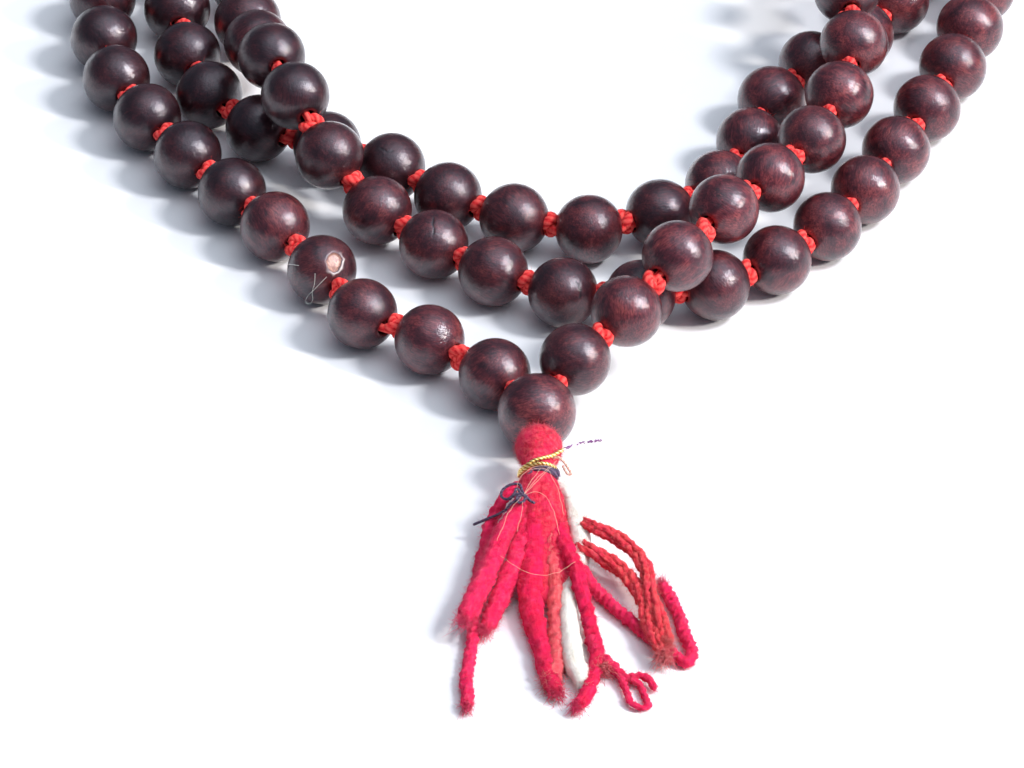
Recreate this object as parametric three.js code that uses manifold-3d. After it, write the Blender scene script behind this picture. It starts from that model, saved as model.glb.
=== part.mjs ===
// A mala of 108 rosewood beads and one guru bead on a knotted red cord, with a wool tassel.
// It lies on a table in three loops: the guru bead and the tassel in front, two crossings in
// front of the hand opening and one behind it. Millimetres, +Z up, the table at Z = 0.
import * as THREE from 'three';
import { mergeVertices } from 'three/addons/utils/BufferGeometryUtils.js';
import Module from 'manifold-3d';

const wasm = await Module();
wasm.setup();

// Driving dimensions
const BEAD_COUNT = 108;
const BEAD_RADIUS = 4;
const GURU_RADIUS = 4.3;
const BORE_RADIUS = 1;
const CORD_RADIUS = 0.45;
const KNOT_RADIUS = 1.3;
const KNOT_LEAST_LENGTH = 0.35;
const TOUCH_GAP = 0.3;

// A bead is a ball of eight facets round its bore. The corners stand a little outside the round
// bead, so that the facet it lies on is close to the round bead's lowest point.
const FACETS = 8;
const HALF_FACET = Math.PI / FACETS;
const CORNER_SWELL = 1.0375;
const BAND_SHARE = 0.22;
const CORD_SIDES = 6;
const REST_HEIGHT = BEAD_RADIUS * CORNER_SWELL * Math.cos(HALF_FACET);

// The cord's route, seen from above with the guru bead at X = Y = 0 and the tassel towards -Y.
// Each row is [bead number, x, y, lift], where the lift is the height above a bead on the table.
const CORD_ROUTE = [
  // left side, from the guru bead to the outer loop
  [0, 0, 0, 0.5], [1, -4.6, 7.5, 0], [2, -11.8, 14, 0], [3, -19.3, 19, 0],
  [4, -24, 27.5, 0], [5, -29.5, 36, 0],
  [7, -40, 50.5, 0], [9, -49, 66.5, 0], [11, -51.5, 84, 0], [13, -50, 102, 0],
  // round the back and down the right side of the outer loop
  [16, -41, 129.5, 0], [19, -22.5, 150, 0], [22, 3.5, 158, 0], [25, 30.5, 151.5, 0],
  [28, 50, 131.5, 0], [31, 56.5, 103.5, 0], [33, 53.5, 86, 0], [35, 49, 69, 0],
  [37, 41.5, 51.5, 0], [39, 33, 36, 0], [41, 20, 24.5, 0], [43, 3, 23, 0],
  // over the middle loop on the left
  [45, -11.5, 32.5, 0], [46, -18, 38.5, 0.5], [47, -23.5, 44.5, 4], [48, -27.5, 51.5, 7.5],
  [49, -30.5, 60.5, 7], [50, -32.5, 69.5, 3], [51, -34, 78, 0.5], [53, -34, 96.5, 0],
  // round the back of the middle loop and down to its front
  [56, -22, 121.5, 0], [58, -9, 134, 0], [60, 8, 138.5, 0], [62, 24.5, 131.5, 0],
  [65, 42, 109.5, 0], [67, 46, 92, 0], [69, 38.5, 76, 0], [70, 32.5, 69.5, 0],
  [71, 27.5, 62, 0], [73, 21, 44.5, 0], [75, 6, 35.5, 0], [77, -10, 42, 0],
  [78, -16.5, 48, 0], [79, -24, 52.5, 0], [80, -32, 56, 0], [81, -38, 63, 0],
  [83, -42.5, 81.5, 0], [85, -41.5, 100.5, 0],
  // over the middle loop at the back
  [87, -35, 118, 0.5], [88, -29.5, 124.5, 3], [89, -22, 129.5, 6], [90, -13.5, 132, 7.5],
  [91, -4.5, 132.5, 7], [92, 4.5, 131, 5], [93, 12.5, 128, 2.5], [95, 26.5, 117, 0],
  // on top of the other loops on the right, and down to the guru bead
  [97, 34, 100, 2.5], [99, 35.5, 82, 7.5], [100, 36.5, 73, 8], [101, 37, 64, 6.5],
  [102, 35, 55.5, 5], [103, 31.5, 47, 4.5], [104, 26.5, 38.5, 5], [105, 21, 30, 6.5],
  [106, 15.6, 20.4, 6.8], [107, 9.9, 13.8, 4], [108, 4.2, 7.5, 2], [109, 0, 0, 0.5],
];

// Stretches of beads that turn one by one, each with the cord that carries it, from the knot
// before its first bead to the knot after its last one.
const FRONT_STRETCHES = [
  { name: 'string_left', first: 1, last: 9 },
  { name: 'string_outer', first: 37, last: 46 },
  { name: 'string_middle', first: 72, last: 79 },
  { name: 'string_right', first: 101, last: 108 },
];

// Stretches behind them, where beads, cord and knots are one solid each.
const REAR_STRETCHES = [
  { name: 'rear_strand_outer', first: 10, last: 36 },
  { name: 'rear_strand_middle', first: 47, last: 71 },
  { name: 'rear_strand_inner', first: 80, last: 100 },
];

// The tassel, in the same frame as the route, with Z as the height above the table.
const GURU_TILT = THREE.MathUtils.degToRad(6);
const GURU_CORD = { back: 3.9, front: 4.6 };
const HEAD_START = new THREE.Vector3(0.1, -4.95, 4.95);
const HEAD_DIRECTION = new THREE.Vector3(0.03, -1, -0.06).normalize();
const HEAD_PROFILE = [
  [0, 0], [1.5, 0], [2.25, 0.8], [2.45, 2], [2.2, 3.3], [1.6, 4.4], [1.6, 6.5], [0, 6.5],
];
const BINDING = { inner: 1.92, outer: 2.3, start: 6, end: 6.6 };
const GOLD_THREAD = { radius: 0.2, coil: 2.15, turns: 2, start: 4.75, end: 5.65 };
const GOLD_TAIL = [[3.9, -9.2, 6.1], [5.4, -8.8, 6.6], [7, -8.3, 7]];
const TIE_THREAD_RADIUS = 0.25;
const TIE_THREAD = [
  [-0.9, -16.6, 5.2], [-2.2, -14.6, 5.5], [-3.1, -13, 5.7], [-4.1, -12.9, 5.3],
  [-4.4, -13.9, 4.6], [-4.1, -15, 4.1], [-5.2, -16.5, 3.7], [-6.8, -18, 3.3],
];
// Each row of the skirt is [y, half width, height of its middle, half height].
const SKIRT_SECTIONS = [
  [-11.95, 0.9, 4.5, 0.9], [-12.8, 2, 4.4, 1.6], [-14.5, 2.5, 3.9, 1.7],
  [-17.5, 3.2, 2.9, 1.7], [-20.5, 3.9, 2, 1.6], [-22.1, 3.9, 1.7, 1.4],
];
const SKIRT_SIDES = 12;
const SKIRT_MIDDLE_X = 0.2;
const YARN_SIDES = 8;
const YARNS = {
  yarn_left_long: {
    radius: 0.7, colour: 0xe0104e, steps: 12,
    route: [
      [-3.9, -13.8, 2.6], [-5.4, -16, 1.3], [-6.1, -20.2, 0.8], [-6.4, -26.3, 0.8],
      [-7, -33.6, 0.8], [-7.2, -37.3, 0.8], [-7.5, -44, 0.8], [-7.3, -47, 0.8],
    ],
  },
  yarn_left_front: {
    radius: 1, colour: 0xf51f68, steps: 6,
    route: [[-5, -22.6, 3], [-5.8, -25.4, 2.9], [-6.8, -30, 2.85], [-7.6, -34.4, 2.85]],
  },
  yarn_left_inner: {
    radius: 1, colour: 0xf02560, steps: 6,
    route: [[-2.85, -22.7, 2.5], [-3.5, -25.4, 1.8], [-4.2, -29.4, 1.15], [-4.8, -33.8, 1.05]],
  },
  yarn_centre_crimson: {
    radius: 0.85, colour: 0xd80f40, steps: 8,
    route: [
      [-0.6, -22.7, 2.4], [-1, -26, 1.5], [-0.8, -30.5, 0.9], [-0.15, -36, 0.9], [0.4, -41, 0.9],
      [1.7, -45.2, 0.9],
    ],
  },
  yarn_centre_orange: {
    radius: 0.75, colour: 0xd9323c, steps: 7,
    route: [
      [1.5, -22.7, 2.4], [1.3, -25.5, 1.6], [1.4, -30, 0.85], [1.9, -36, 0.85], [2.15, -40.8, 0.85],
    ],
  },
  yarn_white: {
    radius: 0.75, colour: 0xf4ead8, steps: 11,
    route: [
      [3.9, -12.9, 2.6], [4.7, -16.8, 1.5], [5.1, -20, 0.95], [4.5, -23, 0.85],
      [3.3, -26.5, 0.85], [3.1, -30, 0.85], [3.7, -36, 0.85], [3.9, -39.6, 0.85], [4.2, -42.6, 0.85],
    ],
  },
  yarn_right_forked: {
    radius: 0.9, colour: 0xe3124c, steps: 10,
    route: [
      [3.8, -22.8, 3], [4.5, -25, 2.75], [5, -27.5, 1.7], [5, -30.2, 1], [5.75, -35.5, 1],
      [6.5, -39, 0.95], [6.5, -42, 0.95], [5.6, -45.2, 0.95], [4.2, -46.9, 0.95],
    ],
    fork: {
      radius: 0.6, steps: 4,
      route: [[6.1, -37, 0.85], [7.6, -39.6, 0.75], [9.2, -40.8, 0.75], [11.2, -42, 0.75]],
    },
  },
  yarn_orange_outer: {
    radius: 0.9, colour: 0xdf2b36, steps: 10,
    route: [
      [5.3, -18.6, 3.4], [6.7, -19.6, 3.3], [8.5, -20.8, 3.2], [10.3, -22.2, 3],
      [11.7, -24.2, 2.8], [12.3, -27, 2.75], [12.3, -30.5, 2.75], [12.7, -34, 2.75],
      [13.2, -37.6, 2.75],
    ],
  },
  yarn_orange_inner: {
    radius: 0.85, colour: 0xe0303a, steps: 5,
    route: [[6.6, -21.7, 1.4], [7.9, -23.4, 1.3], [9.4, -25.3, 1.2], [10.7, -27.4, 1.1]],
  },
  yarn_pink_loop: {
    radius: 0.75, colour: 0xee1450, steps: 22,
    route: [
      [5.9, -24.6, 0.8], [7, -27.2, 0.8], [8.7, -29.6, 0.8], [10.4, -32.1, 0.8],
      [12, -34.6, 0.8], [13.2, -36.6, 0.8], [14.4, -38.1, 0.8], [15.6, -37.4, 0.8],
      [15.5, -35, 0.8], [14.8, -31.8, 0.8], [14, -28.6, 0.8], [13.1, -25.4, 0.8],
    ],
  },
};

function material(name, colour, roughness, metalness = 0) {
  const made = new THREE.MeshStandardMaterial({ color: colour, roughness, metalness });
  made.name = name;
  return made;
}

const ROSEWOOD = material('rosewood', 0x3d1712, 0.3);
const RED_CORD = material('red_cord', 0xd31d22, 0.85);
const FELT = material('felt', 0xd21a45, 0.95);
const GOLD = material('gold_thread', 0xd9a42c, 0.35, 0.8);
const NAVY = material('navy_thread', 0x2a2138, 0.8);

// Where a bead's centre is on the cord's route.
const routeCurve = new THREE.CatmullRomCurve3(
  CORD_ROUTE.map(([, x, y, lift]) => new THREE.Vector3(x, y, REST_HEIGHT + lift)),
);

function beadCentre(number) {
  let row = 0;
  while (row < CORD_ROUTE.length - 2 && CORD_ROUTE[row + 1][0] <= number) {
    row += 1;
  }
  const from = CORD_ROUTE[row][0];
  const share = (number - from) / (CORD_ROUTE[row + 1][0] - from);
  const point = routeCurve.getPoint((row + share) / (CORD_ROUTE.length - 1));
  point.z = Math.max(point.z, REST_HEIGHT);
  return point;
}

// A bead's bore runs along the line between its two neighbours.
function boreDirection(number) {
  return beadCentre(number + 1).sub(beadCentre(number - 1)).normalize();
}

// A path of straight lines, whose steps fall on its own points.
class PointPath extends THREE.Curve {
  constructor(points) {
    super();
    this.points = points;
  }

  getPoint(share) {
    const along = share * (this.points.length - 1);
    const line = Math.min(Math.floor(along), this.points.length - 2);
    return this.points[line].clone().lerp(this.points[line + 1], along - line);
  }

  getUtoTmapping(share) {
    return share;
  }
}

// The placement that lays a Y axis along a direction, with the Z axis upward.
function placement(centre, direction) {
  const side = new THREE.Vector3().crossVectors(direction, new THREE.Vector3(0, 0, 1)).normalize();
  const up = new THREE.Vector3().crossVectors(side, direction);
  return new THREE.Matrix4().makeBasis(side, direction, up).setPosition(centre);
}

function placeAlong(geometry, centre, direction) {
  return geometry.applyMatrix4(placement(centre, direction));
}

// How far from the middle of a bead the mouth of its bore is, along the bore.
function mouthHeight(radius) {
  return Math.sqrt(radius ** 2 - BORE_RADIUS ** 2);
}

// A bead turned round its Y axis. Its outline runs up the outside and, in a bored bead, back
// down the bore.
function beadGeometry(radius, isBored) {
  const reach = radius * CORNER_SWELL;
  const band = reach * BAND_SHARE;
  const diagonal = reach * Math.SQRT1_2;
  const mouth = mouthHeight(radius);
  const middle = isBored ? BORE_RADIUS : 0;
  const outline = [
    [middle, -mouth], [diagonal, -diagonal], [reach, -band],
    [reach, band], [diagonal, diagonal], [middle, mouth],
  ];
  if (isBored) {
    outline.push([middle, -mouth]);
  }
  return lathe(outline, FACETS);
}

function polygon(radius, sides) {
  const corners = [];
  for (let corner = 0; corner < sides; corner += 1) {
    const angle = (corner / sides) * 2 * Math.PI;
    corners.push(new THREE.Vector2(radius * Math.cos(angle), radius * Math.sin(angle)));
  }
  return new THREE.Shape(corners);
}

function lathe(outline, sides) {
  const points = outline.map(([across, along]) => new THREE.Vector2(across, along));
  return new THREE.LatheGeometry(points, sides, HALF_FACET);
}

function tube(path, radius, sides, steps) {
  const options = { steps, bevelEnabled: false, extrudePath: path };
  return new THREE.ExtrudeGeometry(polygon(radius, sides), options);
}

function smoothPath(points) {
  return new THREE.CatmullRomCurve3(points.map(([x, y, z]) => new THREE.Vector3(x, y, z)));
}

// Joins closed geometries that overlap into one closed geometry.
function join(geometries) {
  const solids = geometries.map((geometry) => {
    geometry.deleteAttribute('normal');
    geometry.deleteAttribute('uv');
    const merged = mergeVertices(geometry, 1e-4);
    const corners = [...merged.index.array];
    const triangles = [];
    for (let start = 0; start < corners.length; start += 3) {
      const [a, b, c] = corners.slice(start, start + 3);
      if (a !== b && b !== c && c !== a) {
        triangles.push(a, b, c);
      }
    }
    return new wasm.Manifold(new wasm.Mesh({
      numProp: 3,
      vertProperties: new Float32Array(merged.attributes.position.array),
      triVerts: new Uint32Array(triangles),
    }));
  });
  const mesh = solids.reduce((whole, solid) => whole.add(solid)).getMesh();
  const geometry = new THREE.BufferGeometry();
  geometry.setAttribute('position', new THREE.BufferAttribute(mesh.vertProperties, 3));
  geometry.setIndex(new THREE.BufferAttribute(mesh.triVerts, 1));
  geometry.computeVertexNormals();
  return geometry;
}

const mala = new THREE.Group();
mala.name = 'mala';

function addPiece(name, geometry, finish) {
  const piece = new THREE.Mesh(geometry, finish);
  piece.name = name;
  mala.add(piece);
  return piece;
}

// The knot after a bead fills the room before the next one, less a touch gap on each side and
// what the two beads lean. A fused knot of a rear strand reaches into both beads instead.
function knotAfter(number, fused) {
  const start = beadCentre(number);
  const end = beadCentre(number + 1);
  const direction = end.clone().sub(start).normalize();
  const pitch = start.distanceTo(end);
  const lean = Math.max(
    direction.angleTo(boreDirection(number)),
    direction.angleTo(boreDirection(number + 1)),
  );
  const beadEnd = mouthHeight(BEAD_RADIUS) * Math.cos(lean) + BORE_RADIUS * Math.sin(lean);
  const length = fused
    ? pitch - 2 * (mouthHeight(BEAD_RADIUS) - KNOT_RADIUS)
    : Math.max(pitch - 2 * (beadEnd + TOUCH_GAP), KNOT_LEAST_LENGTH);
  const body = new THREE.CylinderGeometry(KNOT_RADIUS, KNOT_RADIUS, length, CORD_SIDES);
  return placeAlong(body, start.lerp(end, 0.5), direction);
}

// Each counting bead of a front stretch is a mesh of its own that turns on the cord.
function addCountingBead(number) {
  const bead = addPiece(`bead_${String(number).padStart(3, '0')}`, beadGeometry(BEAD_RADIUS, true), ROSEWOOD);
  bead.applyMatrix4(placement(beadCentre(number), boreDirection(number)));
}

// The cord of a front stretch is straight inside each bore and bends only in the knots. It starts
// and ends in the middle of a knot, or at the mouth of a bead that is next to the guru bead.
function addFrontStretch({ name, first, last }) {
  const route = [];
  const knots = [];
  for (let number = first - 1; number <= last; number += 1) {
    if (number >= first) {
      const direction = boreDirection(number);
      route.push(beadCentre(number).addScaledVector(direction, -BEAD_RADIUS));
      route.push(beadCentre(number).addScaledVector(direction, BEAD_RADIUS));
    }
    if (number > 0 && number < BEAD_COUNT) {
      knots.push(knotAfter(number, false));
      if (number < first || number === last) {
        route.push(beadCentre(number).lerp(beadCentre(number + 1), 0.5));
      }
    }
  }
  const cord = tube(new PointPath(route), CORD_RADIUS, CORD_SIDES, route.length - 1);
  addPiece(name, join([cord, ...knots]), RED_CORD);
  for (let number = first; number <= last; number += 1) {
    addCountingBead(number);
  }
}

function addRearStretch({ name, first, last }) {
  const pieces = [];
  for (let number = first; number <= last; number += 1) {
    pieces.push(placeAlong(beadGeometry(BEAD_RADIUS, false), beadCentre(number), boreDirection(number)));
    if (number > first) {
      pieces.push(knotAfter(number - 1, true));
    }
  }
  addPiece(name, join(pieces), ROSEWOOD);
}

function addGuru() {
  const direction = new THREE.Vector3(0, -Math.cos(GURU_TILT), Math.sin(GURU_TILT));
  const centre = beadCentre(0);
  addPiece('guru_bead', placeAlong(beadGeometry(GURU_RADIUS, true), centre, direction), ROSEWOOD);
  const back = centre.clone().addScaledVector(direction, -GURU_CORD.back);
  const front = centre.clone().addScaledVector(direction, GURU_CORD.front);
  const cord = tube(new THREE.LineCurve3(back, front), CORD_RADIUS, CORD_SIDES, 1);
  addPiece('guru_cord', cord, RED_CORD);
}

// The felt head with the neck that the bindings go round.
function addTasselHead() {
  addPiece('tassel_head', placeAlong(lathe(HEAD_PROFILE, 12), HEAD_START, HEAD_DIRECTION), FELT);
  const { inner, outer, start, end } = BINDING;
  const section = [[inner, start], [outer, start], [outer, end], [inner, end], [inner, start]];
  addPiece('neck_binding', placeAlong(lathe(section, 12), HEAD_START, HEAD_DIRECTION), NAVY);
}

// The gold thread goes round the neck and leaves it as a tail on the right.
function addGoldThread() {
  const { radius, coil, turns, start, end } = GOLD_THREAD;
  const stepsPerTurn = 12;
  const points = [];
  for (let step = 0; step <= turns * stepsPerTurn; step += 1) {
    const share = step / (turns * stepsPerTurn);
    const angle = share * turns * 2 * Math.PI;
    const along = THREE.MathUtils.lerp(end, start, share);
    const centre = HEAD_START.clone().addScaledVector(HEAD_DIRECTION, along);
    points.push([centre.x + coil * Math.cos(angle), centre.y, centre.z - coil * Math.sin(angle)]);
  }
  const path = smoothPath([...points, ...GOLD_TAIL]);
  addPiece('gold_thread', tube(path, radius, CORD_SIDES, turns * stepsPerTurn + 4), GOLD);
}

// The felted bundle between the neck and the loose yarn ends: a cylinder reshaped row by row.
function addSkirt() {
  const rows = SKIRT_SECTIONS.length - 1;
  const geometry = new THREE.CylinderGeometry(1, 1, 1, SKIRT_SIDES, rows);
  const position = geometry.attributes.position;
  for (let index = 0; index < position.count; index += 1) {
    const row = Math.round((0.5 - position.getY(index)) * rows);
    const [y, halfWidth, middle, halfHeight] = SKIRT_SECTIONS[row];
    const x = SKIRT_MIDDLE_X + position.getX(index) * halfWidth;
    position.setXYZ(index, x, y, middle + position.getZ(index) * halfHeight);
  }
  addPiece('tassel_skirt', geometry, FELT);
}

function addYarn(name, { radius, colour, steps, route, fork }) {
  const finish = material(name, colour, 0.95);
  const main = tube(smoothPath(route), radius, YARN_SIDES, steps);
  if (fork) {
    const branch = tube(smoothPath(fork.route), fork.radius, YARN_SIDES, fork.steps);
    addPiece(name, join([main, branch]), finish);
  } else {
    addPiece(name, main, finish);
  }
}

FRONT_STRETCHES.forEach(addFrontStretch);
REAR_STRETCHES.forEach(addRearStretch);
addGuru();
addTasselHead();
addGoldThread();
addSkirt();
addPiece('tie_thread', tube(smoothPath(TIE_THREAD), TIE_THREAD_RADIUS, CORD_SIDES, 14), NAVY);
Object.entries(YARNS).forEach(([name, yarn]) => addYarn(name, yarn));

// The origin is at the middle of the whole object's box, on the table.
const box = new THREE.Box3().setFromObject(mala, true);
const middle = box.getCenter(new THREE.Vector3());
mala.position.set(-middle.x, -middle.y, -box.min.z);

export default mala;
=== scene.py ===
"""A rosewood mala on a pale table: 108 beads and a guru bead on a knotted red cord, with a wool tassel.

Shapes are made in millimetres in the lay's own frame, with the guru bead at X = Y = 0 and the table
near Z = 0, and are moved into the row frame, in metres, as each mesh is built.
"""

import math

import bpy
import numpy as np
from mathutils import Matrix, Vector, noise


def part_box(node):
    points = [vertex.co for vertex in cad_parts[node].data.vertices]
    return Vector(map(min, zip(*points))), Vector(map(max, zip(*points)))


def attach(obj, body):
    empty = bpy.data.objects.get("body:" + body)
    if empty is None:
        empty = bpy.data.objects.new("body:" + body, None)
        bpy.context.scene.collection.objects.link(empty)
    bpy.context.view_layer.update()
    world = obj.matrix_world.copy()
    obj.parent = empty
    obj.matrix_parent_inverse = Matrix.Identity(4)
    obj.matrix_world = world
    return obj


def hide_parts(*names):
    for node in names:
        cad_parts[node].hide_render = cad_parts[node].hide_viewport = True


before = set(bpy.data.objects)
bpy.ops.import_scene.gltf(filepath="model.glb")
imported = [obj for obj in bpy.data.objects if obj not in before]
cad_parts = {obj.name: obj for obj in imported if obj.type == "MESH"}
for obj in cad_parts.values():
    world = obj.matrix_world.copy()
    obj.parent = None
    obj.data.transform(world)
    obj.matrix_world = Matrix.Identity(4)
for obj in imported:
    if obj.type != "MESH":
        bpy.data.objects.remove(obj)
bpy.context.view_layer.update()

MM = 0.001
BEAD_RADIUS = 4.0
GURU_RADIUS = 4.3
GURU_LIFT = 0.5
GURU_TILT = math.radians(6)
BORE_RADIUS = 0.8
CORD_RADIUS = 0.5
BEAD_COUNT = 108
TABLE_CLEARANCE = 0.03

# A faceted CAD bead lies on a flat of its eight-sided outline. A round bead lies a little higher.
FACET_SWELL = 1.0375
FACETED_REST = BEAD_RADIUS * FACET_SWELL * math.cos(math.pi / 8)
ROUND_LIFT = BEAD_RADIUS - FACETED_REST

# The same rows as the CAD cord: bead number, x, y and lift above a bead on the table.
CORD_ROUTE = np.array([
    [0, 0, 0, 0.5], [1, -4.6, 7.5, 0], [2, -11.8, 14, 0], [3, -19.3, 19, 0],
    [4, -24, 27.5, 0], [5, -29.5, 36, 0],
    [7, -40, 50.5, 0], [9, -49, 66.5, 0], [11, -51.5, 84, 0], [13, -50, 102, 0],
    [16, -41, 129.5, 0], [19, -22.5, 150, 0], [22, 3.5, 158, 0], [25, 30.5, 151.5, 0],
    [28, 50, 131.5, 0], [31, 56.5, 103.5, 0], [33, 53.5, 86, 0], [35, 49, 69, 0],
    [37, 41.5, 51.5, 0], [39, 33, 36, 0], [41, 20, 24.5, 0], [43, 3, 23, 0],
    [45, -11.5, 32.5, 0], [46, -18, 38.5, 0.5], [47, -23.5, 44.5, 4], [48, -27.5, 51.5, 7.5],
    [49, -30.5, 60.5, 7], [50, -32.5, 69.5, 3], [51, -34, 78, 0.5], [53, -34, 96.5, 0],
    [56, -22, 121.5, 0], [58, -9, 134, 0], [60, 8, 138.5, 0], [62, 24.5, 131.5, 0],
    [65, 42, 109.5, 0], [67, 46, 92, 0], [69, 38.5, 76, 0], [70, 32.5, 69.5, 0],
    [71, 27.5, 62, 0], [73, 21, 44.5, 0], [75, 6, 35.5, 0], [77, -10, 42, 0],
    [78, -16.5, 48, 0], [79, -24, 52.5, 0], [80, -32, 56, 0], [81, -38, 63, 0],
    [83, -42.5, 81.5, 0], [85, -41.5, 100.5, 0], [87, -35, 118, 0.5], [88, -29.5, 124.5, 3],
    [89, -22, 129.5, 6], [90, -13.5, 132, 7.5], [91, -4.5, 132.5, 7], [92, 4.5, 131, 5],
    [93, 12.5, 128, 2.5], [95, 26.5, 117, 0], [97, 34, 100, 2.5], [99, 35.5, 82, 7.5],
    [100, 36.5, 73, 8], [101, 37, 64, 6.5], [102, 35, 55.5, 5], [103, 31.5, 47, 4.5],
    [104, 26.5, 38.5, 5], [105, 21, 30, 6.5], [106, 15.6, 20.4, 6.8], [107, 9.9, 13.8, 4],
    [108, 4.2, 7.5, 2], [109, 0, 0, 0.5],
])
# Stretches whose beads turn one by one, then those whose beads are one CAD solid.
FRONT_STRETCHES = {
    "string_left": (1, 9), "string_outer": (37, 46), "string_middle": (72, 79),
    "string_right": (101, BEAD_COUNT),
}
REAR_STRETCHES = {
    "rear_strand_outer": (10, 36), "rear_strand_middle": (47, 71), "rear_strand_inner": (80, 100),
}

guru_low, guru_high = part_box("guru_bead")
SHIFT = np.array((guru_low + guru_high) / 2) / MM - (0, 0, FACETED_REST + GURU_LIFT)


def row_point(point):
    """A point of the lay, in the row frame in metres."""
    return Vector((np.array(point, float) + SHIFT) * MM)


# The camera, at the height and distance of a person leaning over the table.
CAMERA_ELEVATION = 36
CAMERA_PLACE = (-2.7, -560.8, 415.58)
CAMERA_LENS = 225.2
SENSOR_WIDTH = 36

camera_data = bpy.data.cameras.new("camera")
camera_data.lens = CAMERA_LENS
camera_data.sensor_width = SENSOR_WIDTH
camera_data.clip_start = 0.01
camera_data.clip_end = 20
camera = bpy.data.objects.new("camera", camera_data)
camera.location = row_point(CAMERA_PLACE)
camera.rotation_euler = (math.radians(90 - CAMERA_ELEVATION), 0, 0)
bpy.context.scene.collection.objects.link(camera)
bpy.context.scene.camera = camera


# ---- Curves and surfaces as arrays ----

def unit(vectors):
    """Vectors of length one."""
    vectors = np.asarray(vectors, float)
    return vectors / np.maximum(np.linalg.norm(vectors, axis=-1, keepdims=True), 1e-9)


def catmull_rom(before, start, end, after, share):
    """The centripetal curve that the CAD source draws between start and end."""
    first, middle, last = (
        max(np.sum((b - a) ** 2) ** 0.25, 1e-4)
        for a, b in ((before, start), (start, end), (end, after))
    )
    leave = ((start - before) / first - (end - before) / (first + middle) + (end - start) / middle) * middle
    arrive = ((end - start) / middle - (after - start) / (middle + last) + (after - end) / last) * middle
    return (
        start + leave * share
        + (-3 * start + 3 * end - 2 * leave - arrive) * share ** 2
        + (2 * start - 2 * end + leave + arrive) * share ** 3
    )


def curve_point(points, along):
    """The point of an open curve, where along counts its control points from 0."""
    row = min(int(along), len(points) - 2)
    before = points[row - 1] if row > 0 else 2 * points[0] - points[1]
    after = points[row + 2] if row + 2 < len(points) else 2 * points[-1] - points[-2]
    return catmull_rom(before, points[row], points[row + 1], after, along - row)


route_points = CORD_ROUTE[:, 1:] + (0, 0, FACETED_REST)


def cord_point(number):
    """Where the cord is at a bead number, as the CAD has it, with round beads that touch the table."""
    row = min(np.searchsorted(CORD_ROUTE[:, 0], number, side="right") - 1, len(CORD_ROUTE) - 2)
    share = (number - CORD_ROUTE[row, 0]) / (CORD_ROUTE[row + 1, 0] - CORD_ROUTE[row, 0])
    point = curve_point(route_points, row + share)
    point[2] = max(point[2], FACETED_REST)
    return point


def bead_centre(number):
    """A round bead's middle. The guru bead, at both ends of the cord, keeps the CAD bead's height."""
    lift = 0 if number in (0, BEAD_COUNT + 1) else ROUND_LIFT
    return cord_point(number) + (0, 0, lift)


def bore_direction(number):
    """The way the bore runs. The guru bead's points at the tassel and a little up."""
    if number == 0:
        return np.array((0, -math.cos(GURU_TILT), math.sin(GURU_TILT)))
    return unit(cord_point(number + 1) - cord_point(number - 1))


def smooth_path(points, step):
    """Points a step apart along the curve through the control points, and each one's share of its length."""
    points = np.array(points, float)
    fine = np.array([curve_point(points, a) for a in np.linspace(0, len(points) - 1, 40 * len(points))])
    run = np.concatenate(([0], np.cumsum(np.linalg.norm(np.diff(fine, axis=0), axis=1))))
    wanted = np.linspace(0, run[-1], max(3, round(run[-1] / step) + 1))
    path = np.stack([np.interp(wanted, run, fine[:, axis]) for axis in range(3)], axis=1)
    return path, wanted / run[-1], run[-1]


def path_frames(path):
    """Two directions across the path at each of its points, carried along it without twisting."""
    tangents = unit(np.gradient(path, axis=0))
    across = np.zeros_like(path)
    seed = np.array((0, 0, 1.0)) if abs(tangents[0][2]) < 0.9 else np.array((1.0, 0, 0))
    across[0] = unit(np.cross(tangents[0], seed))
    for i in range(1, len(path)):
        carried = across[i - 1] - tangents[i] * np.dot(across[i - 1], tangents[i])
        across[i] = unit(carried)
    return tangents, across, np.cross(tangents, across)


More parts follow.
